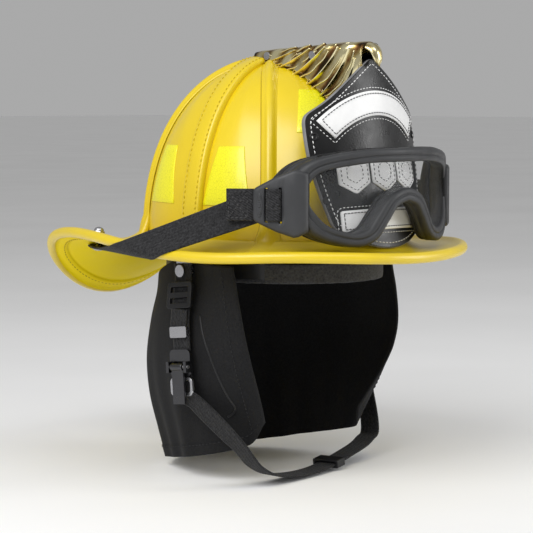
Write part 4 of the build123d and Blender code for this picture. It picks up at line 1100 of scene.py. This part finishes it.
def leaf(spine, lean, width, rise):
    """Cast acanthus-like leaf along a curved spine: a high midrib, deep hollows, lobed soft edges."""
    spine = smooth_line(spine, 16)
    lean = unit(lean)
    places = np.linspace(-1, 1, 31)
    rows, depth = [], []
    for share, centre, heading in zip(np.linspace(0, 1, len(spine)), spine, unit(np.gradient(spine, axis=0))):
        side = unit(np.cross(heading, lean))
        lobe = 0.88 + 0.06 * (1 - math.cos(share * math.pi * 6))
        half = width / 2 * (0.35 + 0.65 * math.sin(math.pi * min(share * 0.8 + 0.15, 1.0))) * lobe
        half = max(half * (1 - share**6), 0.2)
        row = []
        for q in places:
            hollow = math.sin(math.pi * min(abs(q) * 1.08, 1.0)) ** 1.3
            ridge = math.exp(-(q / 0.2) ** 2)
            vein = 0.5 + 0.5 * math.cos((share * 3 - abs(q) * 1.2) * 2 * math.pi)
            height = rise * (0.55 + 0.6 * ridge - 0.6 * hollow * (0.82 + 0.18 * vein))
            height *= 1 - 0.5 * abs(q) ** 6
            row.append(centre + side * (half * q) + lean * height)
            depth.append(float(np.clip(hollow * (0.7 + 0.3 * vein) - 0.3 * ridge, 0, 1)))
        row += [centre + side * (half * q) - lean * 1.5 for q in places[::-1]]
        depth += [1.0] * len(places)
        rows.append(row)
    return grid_shape(rows, wrap_columns=True, caps=True), depth


# Leaves on a side wall fan out backward from the front: points of (y, z) from root to tip, then the width
WALL_LEAVES = (
    (((-99, 160), (-95, 147), (-88, 135), (-84, 124)), 15),
    (((-94, 168), (-86, 152), (-76, 138), (-66, 128)), 17),
    (((-84, 169), (-75, 156), (-62, 144), (-48, 136)), 17),
    (((-72, 169), (-60, 160), (-46, 151), (-31, 144)), 16),
    (((-56, 168), (-44, 162), (-30, 156), (-15, 151)), 14),
    (((-40, 167), (-28, 163), (-14, 159), (2, 156)), 11),
)
# Leaves on the crest, as shares of its half width, steps back, their furthest y, and drops below the top
CREST_SPINE = ((None, 0, 8, 1.0), (0.45, 9, 8, 1.4), (0.8, 17, 3, 3.2), (1.0, 25, 7, 7.0))
leaves = []
for sign in (-1, 1):
    for spine, width in WALL_LEAVES:
        line = [(sign * (holder_half(y) - 0.3 + 0.25 * k), y, z) for k, (y, z) in enumerate(spine)]
        leaves.append(leaf(line, (sign, 0, 0.1), width, 3.2))
    for root_y in range(-92, 4, 16):
        half = holder_half(root_y + 12)
        line = []
        for share, step, furthest, drop in CREST_SPINE:
            x = 1.0 if share is None else half * share
            line.append((sign * x, min(root_y + step, furthest), holder_top(root_y + step) - drop))
        leaves.append(leaf(line, (sign * 0.35, 0, 1), 13, 2.4))
casting = several("holder_leaves", [shape for shape, _ in leaves], BRASS, "shell", slot="brass")
give_depth(casting, [value for _, depth in leaves for value in depth])

BEAK_STATIONS = (
    (0, -88, 165, 9.0, 5.0), (0, -97, 167.5, 8.5, 5.0), (0, -104, 168.2, 7.5, 4.6),
    (0, -109, 165.8, 6.5, 4.0), (0, -111.6, 161, 5.4, 3.1), (0, -112.4, 157, 3.8, 2.1),
    (0, -112.3, 154.5, 1.2, 0.8),
)
beak_line = smooth_line(BEAK_STATIONS, 7)
SIDEWAYS = np.array((1.0, 0, 0))
beak_loops, beak_depth = [], []
for row, heading in zip(beak_line, unit(np.gradient(beak_line[:, :3], axis=0))):
    out = unit(np.cross(SIDEWAYS, heading))
    loop = []
    for t in circle(28):
        flute = 1 + 0.035 * math.cos(6 * t)
        loop.append(row[:3] + SIDEWAYS * row[3] * math.cos(t) * flute + out * row[4] * math.sin(t) * flute)
        beak_depth.append(0.2 - 0.2 * math.cos(6 * t))
    beak_loops.append(loop)
give_depth(several("holder_beak", [loft_loops(beak_loops)], BRASS, "shell", slot="brass"), beak_depth)
dress(("holder_screws",), STEEL, 0.3)


# Goggles --------------------------------------------------------------------------

goggle_whole = np.array([*GOGGLE_OUTLINE, *[(-x, z) for x, z in GOGGLE_OUTLINE[::-1]]], float)
GOGGLE_EDGE = resample_outline(smooth_line(goggle_whole, 10, closed=True), GOGGLE_COUNT)


def goggle_point(x, z, radius):
    return np.array((x, GOGGLE_CENTRE_Y - math.sqrt(max(radius * radius - x * x, 0)), z))


def goggle_inset(distance):
    """Inset of the goggles' edge by relaxed normals, so that tight turns don't cross."""
    return inset_outline(GOGGLE_EDGE, distance, reach=3)


def goggle_ring(name, section, skin, replaced, slot):
    """Closed ring round the goggles through (inset, radius) pairs."""
    rows = [[goggle_point(x, z, radius) for x, z in goggle_inset(inset)] for inset, radius in section]
    return grid_piece(
        name, rows, skin, "goggles", wrap_rows=True, wrap_columns=True, replaces=(replaced,), slot=slot
    )


FRAME_SECTION = (
    (0.6, 122.1), (0.0, 123.0), (0.0, 126.0), (0.5, 126.5), (0.5, 127.5), (0.0, 128.0), (0.0, 132.0),
    (0.35, 133.4), (1.3, 134.5), (2.6, 134.9), (4.6, 134.9), (5.2, 134.5), (5.6, 133.7), (6.3, 133.6),
    (6.8, 134.2), (7.6, 134.4), (9.4, 134.0), (10.5, 133.2), (11.0, 132.4), (11.0, 124.0), (10.4, 122.1),
)
GASKET_SECTION = (
    (1.0, 121.7), (0.3, 120.3), (0.6, 118.4), (2.0, 117.5), (5.5, 117.2), (9.0, 117.5), (10.6, 118.4),
    (10.9, 120.3), (10.2, 121.7),
)
goggle_ring("goggle_surround", FRAME_SECTION, RUBBER, "goggle_frame", "goggle_rubber")
gasket = goggle_ring("goggle_foam", GASKET_SECTION, GASKET_FOAM, "goggle_gasket", "gasket_foam")

# Inner and outer face of the lens: radius, then the first and last share of its outline
LENS_FACES = ((129.9, 0.04, 1), (131.9, 1, 0.04))
LENS_MIDDLE, LENS_INSET = np.array((0, 56.0)), 9.6
lens_loops = []
for radius, first, last in LENS_FACES:
    for share in np.linspace(first, last, 16):
        flat = LENS_MIDDLE + (goggle_inset(LENS_INSET) - LENS_MIDDLE) * share
        lens_loops.append([goggle_point(*p, radius) for p in flat])
several("goggle_window", [loft_loops(lens_loops)], LENS, "goggles", replaces=("goggle_lens",), slot="lens")

# Vents along the brow: short dark slots let into the frame's top, as (inset, radius) and places across
VENT_SECTION = ((-0.35, 125.3), (-0.35, 131.0), (0.9, 131.0), (0.9, 125.3))
VENT_PLACES = [sign * (16 + 13 * k) for sign in (-1, 1) for k in range(5)]
VENT_REACH = 3
BROW_Z = 66
vents = []
for x in VENT_PLACES:
    below_brow = GOGGLE_EDGE[:, 1] < BROW_Z
    nearest = int(np.argmin(np.abs(GOGGLE_EDGE[:, 0] - x) + 1000 * below_brow))
    spots = np.arange(nearest - VENT_REACH, nearest + VENT_REACH + 1) % GOGGLE_COUNT
    block = [[goggle_point(*p, radius) for p in goggle_inset(inset)[spots]] for inset, radius in VENT_SECTION]
    points, faces = grid_shape(block, wrap_rows=True)
    ends = [tuple(range(0, len(points), len(spots))), tuple(range(len(points) - 1, 0, -len(spots)))]
    vents.append((points, faces + ends))
several("goggle_vents", vents, DARK_RUBBER, "goggles")


def arm_point(along, outward, up=0.0):
    return ARM_START + ARM_HEADING * along + ARM_OUT * outward + UP * up


PLATE_REAR = 28.0
PLATE_ALONG = (
    PLATE_REAR, 27.7, 27.0, 26.0, 24.6, 22.5, 20.5, 18.6, 16.0, 13.8, 11.5, 9.2, 7.0, 4.4, 1.5,
    -1.5, -4.5, -8.0, -12.0, -15.0,
)
SLOTS = ((16.0, 18.6), (4.4, 7.0))
SLOT_HALF, SLOT_RIM = 14.0, 3.6
SLOT_STEPS = (-1, -0.5, 0, 0.5, 1)
PLATE_UPPER = ((-15, -6, 10, 28), (24.5, 28.0, 22.0, 12.6))
PLATE_LOWER = ((-15, -6, 10, 28), (-20.5, -25.5, -20.5, -12.2))
PLATE_HALF, PLATE_CORNER = 2.5, 3.0
TUCK_START, TUCK_CURVE = -3, 0.035
# Half thickness by the distance from the rear edge, and bevel steps as (distance in, half thickness)
PLATE_NOSE = ((0, 0.3, 1, 2, 3.4), (0.4, 1.2, 1.9, 2.3, PLATE_HALF))
PLATE_BEVEL = ((0.0, 0.4), (0.5, 1.3), (1.6, 2.0), (3.0, PLATE_HALF))


def plate_shape():
    """Points and faces of the slotted plate that carries the strap, with wide bevels."""
    outer, inner = [], []
    for along in PLATE_ALONG:
        into = max(along - (PLATE_REAR - PLATE_CORNER), 0)
        trim = PLATE_CORNER - math.sqrt(max(PLATE_CORNER**2 - into**2, 0))
        upper = float(np.interp(along, *PLATE_UPPER)) - trim
        lower = float(np.interp(along, *PLATE_LOWER)) + trim
        slot = min(SLOT_HALF, upper - SLOT_RIM, -lower - SLOT_RIM)
        nose = float(np.interp(PLATE_REAR - along, *PLATE_NOSE))
        tuck = -TUCK_CURVE * min(along - TUCK_START, 0) ** 2
        columns = [(lower + step, half) for step, half in PLATE_BEVEL]
        columns += [(slot * step, PLATE_HALF) for step in SLOT_STEPS]
        columns += [(upper - step, half) for step, half in PLATE_BEVEL[::-1]]
        outer.append([arm_point(along, min(half, nose) + tuck, up) for up, half in columns])
        inner.append([arm_point(along, -min(half, nose) + tuck, up) for up, half in columns])
    rows, columns = len(outer), len(outer[0])
    slot_columns = range(len(PLATE_BEVEL), len(PLATE_BEVEL) + len(SLOT_STEPS) - 1)

    def kept(i, j):
        if not (0 <= i < rows - 1 and 0 <= j < columns - 1):
            return False
        in_slot = any(low <= PLATE_ALONG[i + 1] and PLATE_ALONG[i] <= high for low, high in SLOTS)
        return not (in_slot and j in slot_columns)

    faces = []
    behind = rows * columns
    for i, j in [(i, j) for i in range(rows - 1) for j in range(columns - 1) if kept(i, j)]:
        corner = i * columns + j
        corners = (corner, corner + 1, corner + columns + 1, corner + columns)
        faces += [corners, tuple(behind + c for c in corners[::-1])]
        beside = (kept(i - 1, j), kept(i, j + 1), kept(i + 1, j), kept(i, j - 1))
        for first, second, filled in zip(corners, (*corners[1:], corner), beside):
            if not filled:
                faces.append((second, first, behind + first, behind + second))
    return np.array(outer + inner).reshape(-1, 3), faces


# Raised marks on a plate: half length along and up, place up, and height
PLATE_MARKS = ((2.4, 10.0, 0, 0.4), (1.1, 2.0, -5.5, 0.8), (1.1, 2.0, 0.0, 0.8), (1.1, 2.0, 5.5, 0.8))
MARK_ALONG = 22.4


def oval(radius_along, radius_up, up, height):
    """Loops of a low raised oval on the plate's outer face, near its rear edge."""
    loops = []
    for share, out in ((1.0, -0.3), (0.98, 0.55), (0.8, 1.0), (0.5, 0.9), (0.2, 0.75)):
        turns = [(radius_along * share * math.cos(t), radius_up * share * math.sin(t)) for t in circle(28)]
        loops.append([arm_point(MARK_ALONG + a, PLATE_HALF + height * out, up + u) for a, u in turns])
    return np.array(loops)


SIDES = (("right", np.array((1, 1, 1))), ("left", np.array((-1, 1, 1))))
plate_points, plate_faces = plate_shape()
marks = []
for name, mirror in SIDES:
    mesh_piece(
        f"goggle_plate_{name}", (plate_points * mirror, plate_faces), RUBBER, "goggles",
        (f"goggle_arm_{name}",), "goggle_rubber",
    )
    marks += [loft_loops(oval(*sizes) * mirror) for sizes in PLATE_MARKS]
several("goggle_plate_marks", marks, RUBBER, "goggles")


# Strap ----------------------------------------------------------------------------

STRAP_WIDTH = 25.0
ELASTIC_THICKNESS = 1.7
ELASTIC_RIBS, ELASTIC_RIPPLE = 9, 0.16
INNER_LAYER, MIDDLE_LAYER, OUTER_LAYER = -5.5, -3.7, -1.9
# Middle of the sewn end, round the plate's bars, as (along, outward) of arm_point
END_PATH = (
    (50, OUTER_LAYER), (40, OUTER_LAYER), (31, OUTER_LAYER), (28, -2.6), (24, MIDDLE_LAYER),
    (18.5, -3.4), (17.2, -0.5), (16.2, 3.2), (14.2, 3.75), (11.5, 3.8), (8.6, 3.75), (6.7, 3.2), (5.8, -0.3),
    (6.0, -4.0), (8.5, -5.4), (14, INNER_LAYER), (24, INNER_LAYER), (30, -4.4), (40, MIDDLE_LAYER),
    (50, MIDDLE_LAYER),
)
STRAP_THREADS = 36
# Where the strap's front and rear edges meet the rim, above and below it, along the brim
TOP_CONTACT, LOW_CONTACT = (0.405, 0.51), (0.45, 0.565)
WRAP_RADIUS = BEAD_RADIUS + ELASTIC_THICKNESS / 2 + 0.3
WRAP_START, WRAP_END = 33.0, -92.0
SCREW_PLACE = (0.735, 0.52)
UNDER_GAP = 3.4
HELD_WIDTH, TIP_WIDTH, TIP_REACH = 15, 11, 17


def wrap_point(front_rear, degrees):
    """Point of the strap on the rim: front_rear runs over its width, degrees round the bead."""
    share = (WRAP_START - degrees) / (WRAP_START - WRAP_END)
    top, low = (ends[0] + (ends[1] - ends[0]) * front_rear for ends in (TOP_CONTACT, LOW_CONTACT))
    root, edge = brim_station(top + (low - top) * share)
    out = unit((edge - root) * (1, 1, 0))
    turn = math.radians(degrees)
    return edge + out * (WRAP_RADIUS * math.cos(turn)) + UP * (WRAP_RADIUS * math.sin(turn))


def strap_sheet():
    """Rows of a strap's middle surface, from behind the goggle plate to its end, and the split's row."""
    places = np.linspace(0, 1, STRAP_THREADS + 1)
    begin = arm_point(24, INNER_LAYER - 1.9, -0.5)
    heading = unit(wrap_point(0.5, WRAP_START) - begin)
    side = unit(UP - heading * (UP @ heading))
    screw = brim_point(*SCREW_PLACE, BRIM_HALF + UNDER_GAP)
    under_heading = unit(screw - wrap_point(0.5, WRAP_END))
    under_side = unit(np.cross(under_heading, UP))
    under_side = under_side * (1 if under_side[0] < 0 else -1)
    first = begin + np.outer(STRAP_WIDTH * (places - 0.5), side)
    held = screw + np.outer(HELD_WIDTH * (places - 0.5), under_side)
    tip = screw + under_heading * TIP_REACH + UP * 0.5 + np.outer(TIP_WIDTH * (places - 0.5), under_side)
    wraps = []
    for degrees in np.linspace(WRAP_START, WRAP_END, 13):
        wraps.append(np.array([wrap_point(place, degrees) for place in places]))
    contact, lowest = wraps[0], wraps[-1]
    rows = [first + (contact - first) * t for t in np.linspace(0, 1, 30)[:-1]]
    split = len(rows) + 4
    rows += wraps
    for t in np.linspace(0, 1, 20)[1:]:
        rows.append(lowest + (held - lowest) * t - UP * (1.2 * math.sin(math.pi * t)))
    rows += [held + (tip - held) * t for t in np.linspace(0, 1, 8)[1:]]
    return np.array(rows), split


def thick_strap(middle):
    """Closed sections of a ribbed strap round a middle surface."""
    normals = unit(np.cross(np.gradient(middle, axis=1), np.gradient(middle, axis=0)))
    swell = ribbed_swell(ELASTIC_THICKNESS, ELASTIC_RIBS, ELASTIC_RIPPLE, middle.shape[1], 0.5)[None, :, None]
    return np.concatenate((middle + normals * swell, (middle - normals * swell)[:, ::-1]), axis=1)


SEWN_BOX = (
    ((33, -10), (48, -10), (48, 10), (33, 10), (33, -10)), ((33, -10), (48, 10)), ((33, 10), (48, -10)),
)
strap_middle, strap_split = strap_sheet()
strap_rows = thick_strap(strap_middle)
for name, mirror in SIDES:
    stations = [(arm_point(along, out) * mirror, UP, STRAP_WIDTH) for along, out in END_PATH]
    ribbon(
        f"strap_end_{name}_elastic", stations, 5, ELASTIC_THICKNESS, ELASTIC, "goggles", ELASTIC_RIBS,
        ELASTIC_RIPPLE, replaces=(f"strap_end_{name}",), slot="elastic",
    )
    threads = []
    for corners in SEWN_BOX:
        track = resample([arm_point(along, OUTER_LAYER + 1.0, up) for along, up in corners], 40) * mirror
        threads += stitch_shapes(track, ARM_OUT * mirror, 2.2, 1.2, 0.35)
    several(f"strap_end_{name}_stitches", threads, BLACK_THREAD, "goggles", outward=False)
    upper = grid_piece(
        f"strap_{name}_elastic", strap_rows[:strap_split + 1] * mirror, ELASTIC, None, wrap_columns=True,
        caps=True, replaces=(f"goggle_strap_{name}",), slot="elastic",
    )
    blend_start = wrap_point(0.0, WRAP_START) * mirror * MM
    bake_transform(upper)
    grid_piece(
        f"strap_tail_{name}_elastic", strap_rows[strap_split:] * mirror, ELASTIC, "shell", wrap_columns=True,
        caps=True, replaces=(f"strap_tail_{name}",), slot="elastic",
    )

# Acorn nuts, washers and screws of the strap, square to the brim; profiles from the foot, as for turned
NUT_PROFILE = (
    (0, 5.0, 1), (0.3, 5.3, 1), (3.8, 5.3, 1), (4.4, 4.7, 0.3), (4.6, 4.3, 0), (5.6, 4.2, 0), (6.7, 3.7, 0),
    (7.5, 2.7, 0), (8.0, 1.4, 0), (8.15, 0.5, 0),
)
SCREW_PROFILE = (
    (2.0, 2.4, 0), (-8.3, 2.4, 0), (-8.4, 5.0, 0), (-9.0, 5.0, 0), (-9.8, 4.4, 0), (-10.4, 3.2, 0),
    (-10.7, 1.6, 0), (-10.8, 0.6, 0),
)
NUT_INSET = 5.0
nut_low, nut_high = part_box("acorn_nuts")
nuts, screws = [], []
for sign in (-1, 1):
    tilt = unit((-0.18 * sign, 0.1, 1))
    base = np.array((
        sign * (nut_high.x / MM - NUT_INSET), (nut_low.y + nut_high.y) / 2 / MM, nut_low.z / MM + 0.4,
    ))
    nuts.append(turned(base, tilt, NUT_PROFILE, 36))
    screws.append(turned(brim_point(*SCREW_PLACE, -BRIM_HALF) * (-sign, 1, 1), tilt, SCREW_PROFILE, 28))
several("strap_dome_nuts", nuts, STEEL, "shell", replaces=("acorn_nuts",), slot="steel")
dress(("strap_washers",), STEEL, 0.25)
several("strap_screw_heads", screws, STEEL, "shell", replaces=("strap_screws",), slot="steel")


# Curtain --------------------------------------------------------------------------

SPREAD_CURVE = smooth_line([(share, spread, 0) for share, spread in CURTAIN_SPREAD], 10).T


def curtain_point(turn, share, lift):
    """Point on the curtain: turn in degrees from the rear, to the right side if positive."""
    away = abs(turn)
    corner = float(ease(CURTAIN_TURN - 11, CURTAIN_TURN + 1, away))
    bottom = CURTAIN_REAR + (CURTAIN_FRONT - CURTAIN_REAR) * (away / CURTAIN_TURN) ** 2 + 15 * corner**2
    top = CURTAIN_TOP - CURTAIN_NAPE_DIP * (1 - float(np.clip((away - 42) / 33, 0, 1)))
    spread = float(np.interp(share, SPREAD_CURVE[0], SPREAD_CURVE[1]))
    spread += float(np.interp(share, *CURTAIN_FLARE)) * float(ease(94, CURTAIN_TURN, away))
    edge_turn = CURTAIN_EDGE_TOP + (CURTAIN_EDGE_FOOT - CURTAIN_EDGE_TOP) * share
    forward = float(ease(60, CURTAIN_TURN, away))
    angle = math.radians(turn * (1 + (edge_turn / CURTAIN_TURN - 1) * forward))
    out = np.array((-CURTAIN_HALF_WIDTH * math.sin(angle), CURTAIN_HALF_LENGTH * math.cos(angle), 0))
    wave = 1.6 * math.sin(turn * 0.16 + 0.7) + 1.0 * math.sin(turn * 0.39 + share * 2.2)
    sway = (wave - 1.4) * float(ease(0.15, 1.0, share)) * (1 - float(ease(80, 96, away)))
    return out * spread + unit(out) * (sway + lift) + CROWN_MIDDLE + UP * (top + (bottom - top) * share)


def hem_lift(turn, share):
    """The doubled hem stands out a little along the bottom and front edges."""
    bottom = float(ease(HEM_SHARE, HEM_SHARE + 0.0035, share))
    front = float(ease(CURTAIN_TURN - 7.5, CURTAIN_TURN - 7.0, abs(turn)))
    return 0.55 * max(bottom, front)


curtain_turns = np.linspace(-CURTAIN_TURN, CURTAIN_TURN, 181)
curtain_shares = (*np.linspace(0, 0.93, 60), HEM_SHARE, HEM_SHARE + 0.0035, 0.945, 0.97, 0.995, 1.0)
curtain_rows = []
for share in curtain_shares:
    curtain_rows.append([curtain_point(t, share, CURTAIN_HALF + hem_lift(t, share)) for t in curtain_turns])
for share in curtain_shares[::-1]:
    curtain_rows.append([curtain_point(t, share, -CURTAIN_HALF) for t in curtain_turns])
points, faces = grid_shape(curtain_rows, wrap_rows=True)
columns = len(curtain_turns)
for i in range(len(curtain_shares) - 1):
    outer, inner = i * columns, (len(curtain_rows) - 1 - i) * columns
    last = columns - 1
    faces.append((outer, outer + columns, inner - columns, inner))
    faces.append((outer + last, inner + last, inner - columns + last, outer + columns + last))
curtain = mesh_piece(
    "curtain_cloth_sheet", (points, faces), CURTAIN_CLOTH, "shell", ("neck_curtain",), "curtain_cloth"
)


def rear_heading(turn):
    return np.array((-math.sin(math.radians(turn)), math.cos(math.radians(turn)), 0))


CURTAIN_STITCH = (2.6, 1.4, 0.35)
hem_turns = np.linspace(-CURTAIN_TURN + 3, CURTAIN_TURN - 3, 240)
curtain_threads = stitch_shapes(
    [curtain_point(t, 0.945, 1.35) for t in hem_turns], [rear_heading(t) for t in hem_turns], *CURTAIN_STITCH
)
for edge_turn in (6.0 - CURTAIN_TURN, CURTAIN_TURN - 6.0):
    seam = [curtain_point(edge_turn, share, 1.35) for share in np.linspace(0.02, 0.93, 90)]
    curtain_threads += stitch_shapes(seam, rear_heading(edge_turn), *CURTAIN_STITCH)
# Raised welt down each front part, as (turn, share)
WELT = ((99, 0.27), (101, 0.36), (105, 0.5), (109.5, 0.7), (111.5, 0.77), (110, 0.8), (107, 0.815))
welts = []
for sign in (-1, 1):
    line = resample([curtain_point(sign * t, share, 0.95) for t, share in smooth_line(WELT, 8)], 60)
    outs = unit(line * (1, 1, 0))
    sides = unit(np.cross(unit(np.gradient(line, axis=0)), outs))
    loops = []
    for middle, side, out in zip(line, sides, outs):
        loops.append([middle + side * (0.9 * math.cos(t)) + out * (0.6 * math.sin(t)) for t in circle(8)])
    welts.append(loft_loops(loops))
several("curtain_welts", welts, PLASTIC, "shell")
several("curtain_stitches", curtain_threads, DARK_THREAD, "shell", outward=False)


# Chin strap -----------------------------------------------------------------------


def web(name, centres, width, steps, thickness, replaced):
    """Webbing of the chin strap, its width level and fore and aft."""
    stations = [(centre, (0.0, 1.0, 0.0), width) for centre in centres]
    ribbon(
        name, stations, steps, thickness, WEBBING, "chin_strap", 5, 0.12, replaces=(replaced,), slot="webbing"
    )


web("chin_strap_upper_web", CHIN_UPPER, WEB_WIDTH, 14, WEB_THICKNESS, "chin_strap_right")
web("chin_strap_lower_web", CHIN_LOWER, WEB_WIDTH, 10, WEB_THICKNESS, "chin_strap_lower")
tail_low, tail_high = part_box("adjuster_tail")
tail_middle = (tail_low + tail_high) / 2 / MM
tail_top = np.array((tail_middle.x + 0.5, tail_middle.y, tail_high.z / MM))
tail_foot = np.array((tail_middle.x - 0.8, tail_middle.y, tail_low.z / MM))
web("adjuster_tail_web", (tail_top, (tail_top + tail_foot) / 2, tail_foot), 18.0, 8, 1.6, "adjuster_tail")
dress(("strap_adjuster", "postman_slide"), PLASTIC, 0.5)
dress(("strap_tip", "buckle_ring"), STEEL, 0.4)
dress(("buckle_body", "buckle_lever"), GUNMETAL, 0.4)
dress(("buckle_pin", "chin_anchors", "anchor_pins"), STEEL, 0.2)


# Suspension and padding -----------------------------------------------------------

FIT_BAND = ("headband", "ratchet_housing", "ratchet_knob", "band_tail_right", "band_tail_left", "band_keys")
dress(FIT_BAND, PLASTIC, 0.5)
dress(("impact_cap",), CAP_FOAM, 0)

SWELL_FRAMES = 12
SWELL_LIMIT = 2.0


def bake_modifiers(piece):
    """Replace a piece's mesh by what its modifiers make of it."""
    graph = bpy.context.evaluated_depsgraph_get()
    graph.update()
    made = bpy.data.meshes.new_from_object(piece.evaluated_get(graph))
    piece.modifiers.clear()
    piece.data = made


def mesh_points(piece):
    places = np.zeros(len(piece.data.vertices) * 3, np.float32)
    piece.data.vertices.foreach_get("co", places)
    return places.reshape(-1, 3)


def puff(name, node, voxel=0.0035, shrink=0.0012):
    """Pad from a CAD solid: remeshed, swollen a little as cloth, and smoothed."""
    piece = bpy.data.objects.new(name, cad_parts[node].data.copy())
    bpy.context.scene.collection.objects.link(piece)
    piece.data.materials.clear()
    piece.modifiers.new("weld", "WELD").merge_threshold = WELD_GAP
    remesh = piece.modifiers.new("remesh", "REMESH")
    remesh.mode = "VOXEL"
    remesh.voxel_size = voxel
    pull = piece.modifiers.new("pull", "DISPLACE")
    pull.strength = -shrink
    pull.mid_level = 0.0
    bake_modifiers(piece)
    start = mesh_points(piece)
    swell = piece.modifiers.new("cloth", "CLOTH")
    swell.settings.use_pressure = True
    swell.settings.uniform_pressure_force = 3.0
    swell.settings.effector_weights.gravity = 0
    swell.settings.tension_stiffness = 20
    for number in range(1, SWELL_FRAMES + 1):
        bpy.context.scene.frame_set(number)
    bake_modifiers(piece)
    bpy.context.scene.frame_set(1)
    move = mesh_points(piece) - start
    length = np.linalg.norm(move, axis=1, keepdims=True)
    move *= np.minimum(1, SWELL_LIMIT * MM / np.maximum(length, 1e-9))
    piece.data.vertices.foreach_set("co", (start + move).astype(np.float32).ravel())
    soft = piece.modifiers.new("soft", "SMOOTH")
    soft.iterations = 3
    finer = piece.modifiers.new("finer", "SUBSURF")
    finer.levels = finer.render_levels = 1
    bake_modifiers(piece)
    piece.data.materials.append(LINER_KNIT)
    piece.data.shade_smooth()
    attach(piece, "shell")
    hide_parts(node)


puff("brow_liner_padding", "brow_liner")
puff("brow_padding", "brow_pad")
puff("nape_padding", "nape_pad", voxel=0.0025, shrink=0.0006)
puff("crown_padding", "crown_pad", voxel=0.0025, shrink=0.0006)

# Webbing arches over the head, in place of the CAD straps
ARCHES = (
    ("crown_web_side", "crown_strap_side", (1.0, 0.0, 0.0), (0.0, 1.0, 0.0), 77.0, 125.0),
    ("crown_web_long", "crown_strap_long", (0.0, 1.0, 0.0), (1.0, 0.0, 0.0), 94.0, 121.0),
)
for name, node, run, side, half_span, top in ARCHES:
    stations = []
    for turn in np.radians(np.linspace(8, 172, 25)):
        level = np.array(run) * ((half_span - 0.8) * math.cos(turn))
        stations.append((CROWN_MIDDLE + level + UP * ((top - 0.8) * math.sin(turn)), side, 20.0))
    ribbon(name, stations, 4, 1.4, WEBBING, "shell", 5, 0.1, replaces=(node,), slot="webbing")


# Stage and light ------------------------------------------------------------------

FLOOR_HALF = 30
floor_z = cad_low.z - 0.002
floor_corners = [(x * FLOOR_HALF, y * FLOOR_HALF, floor_z) for x, y in ((-1, -1), (1, -1), (1, 1), (-1, 1))]
floor_data = bpy.data.meshes.new("floor")
floor_data.from_pydata(floor_corners, [], [(0, 1, 2, 3)])
floor_data.materials.append(
    surface("pale_floor", (0.93, 0.93, 0.93), 0.8, tone=(fine(3, 2), ((0.3, 0.90), (0.7, 0.94))))
)
floor_object = bpy.data.objects.new("floor", floor_data)
bpy.context.scene.collection.objects.link(floor_object)

world = bpy.data.worlds.new("studio")
bpy.context.scene.world = world
world.use_nodes = True
background = world.node_tree.nodes["Background"]
background.inputs["Color"].default_value = (1, 1, 1, 1)
background.inputs["Strength"].default_value = 0.40
bpy.context.scene.view_settings.view_transform = "Standard"

# Large soft panels that look at the helmet: place and size in metres, power in watts
PANELS = (
    ("key_left", (-1.5, -0.3, 1.2), (1.3, 1.3), 28),
    ("top_front", (-0.4, -1.3, 1.7), (1.2, 0.8), 8),
    ("far_right", (1.2, -1.5, 0.5), (0.7, 1.2), 13),
)
for name, place, size, power in PANELS:
    panel = bpy.data.lights.new(name, "AREA")
    panel.shape = "RECTANGLE"
    panel.size, panel.size_y = size
    panel.energy = power
    light = bpy.data.objects.new(name, panel)
    light.location = place
    light.rotation_mode = "QUATERNION"
    light.rotation_quaternion = (-Vector(place)).to_track_quat("-Z", "Y")
    bpy.context.scene.collection.objects.link(light)
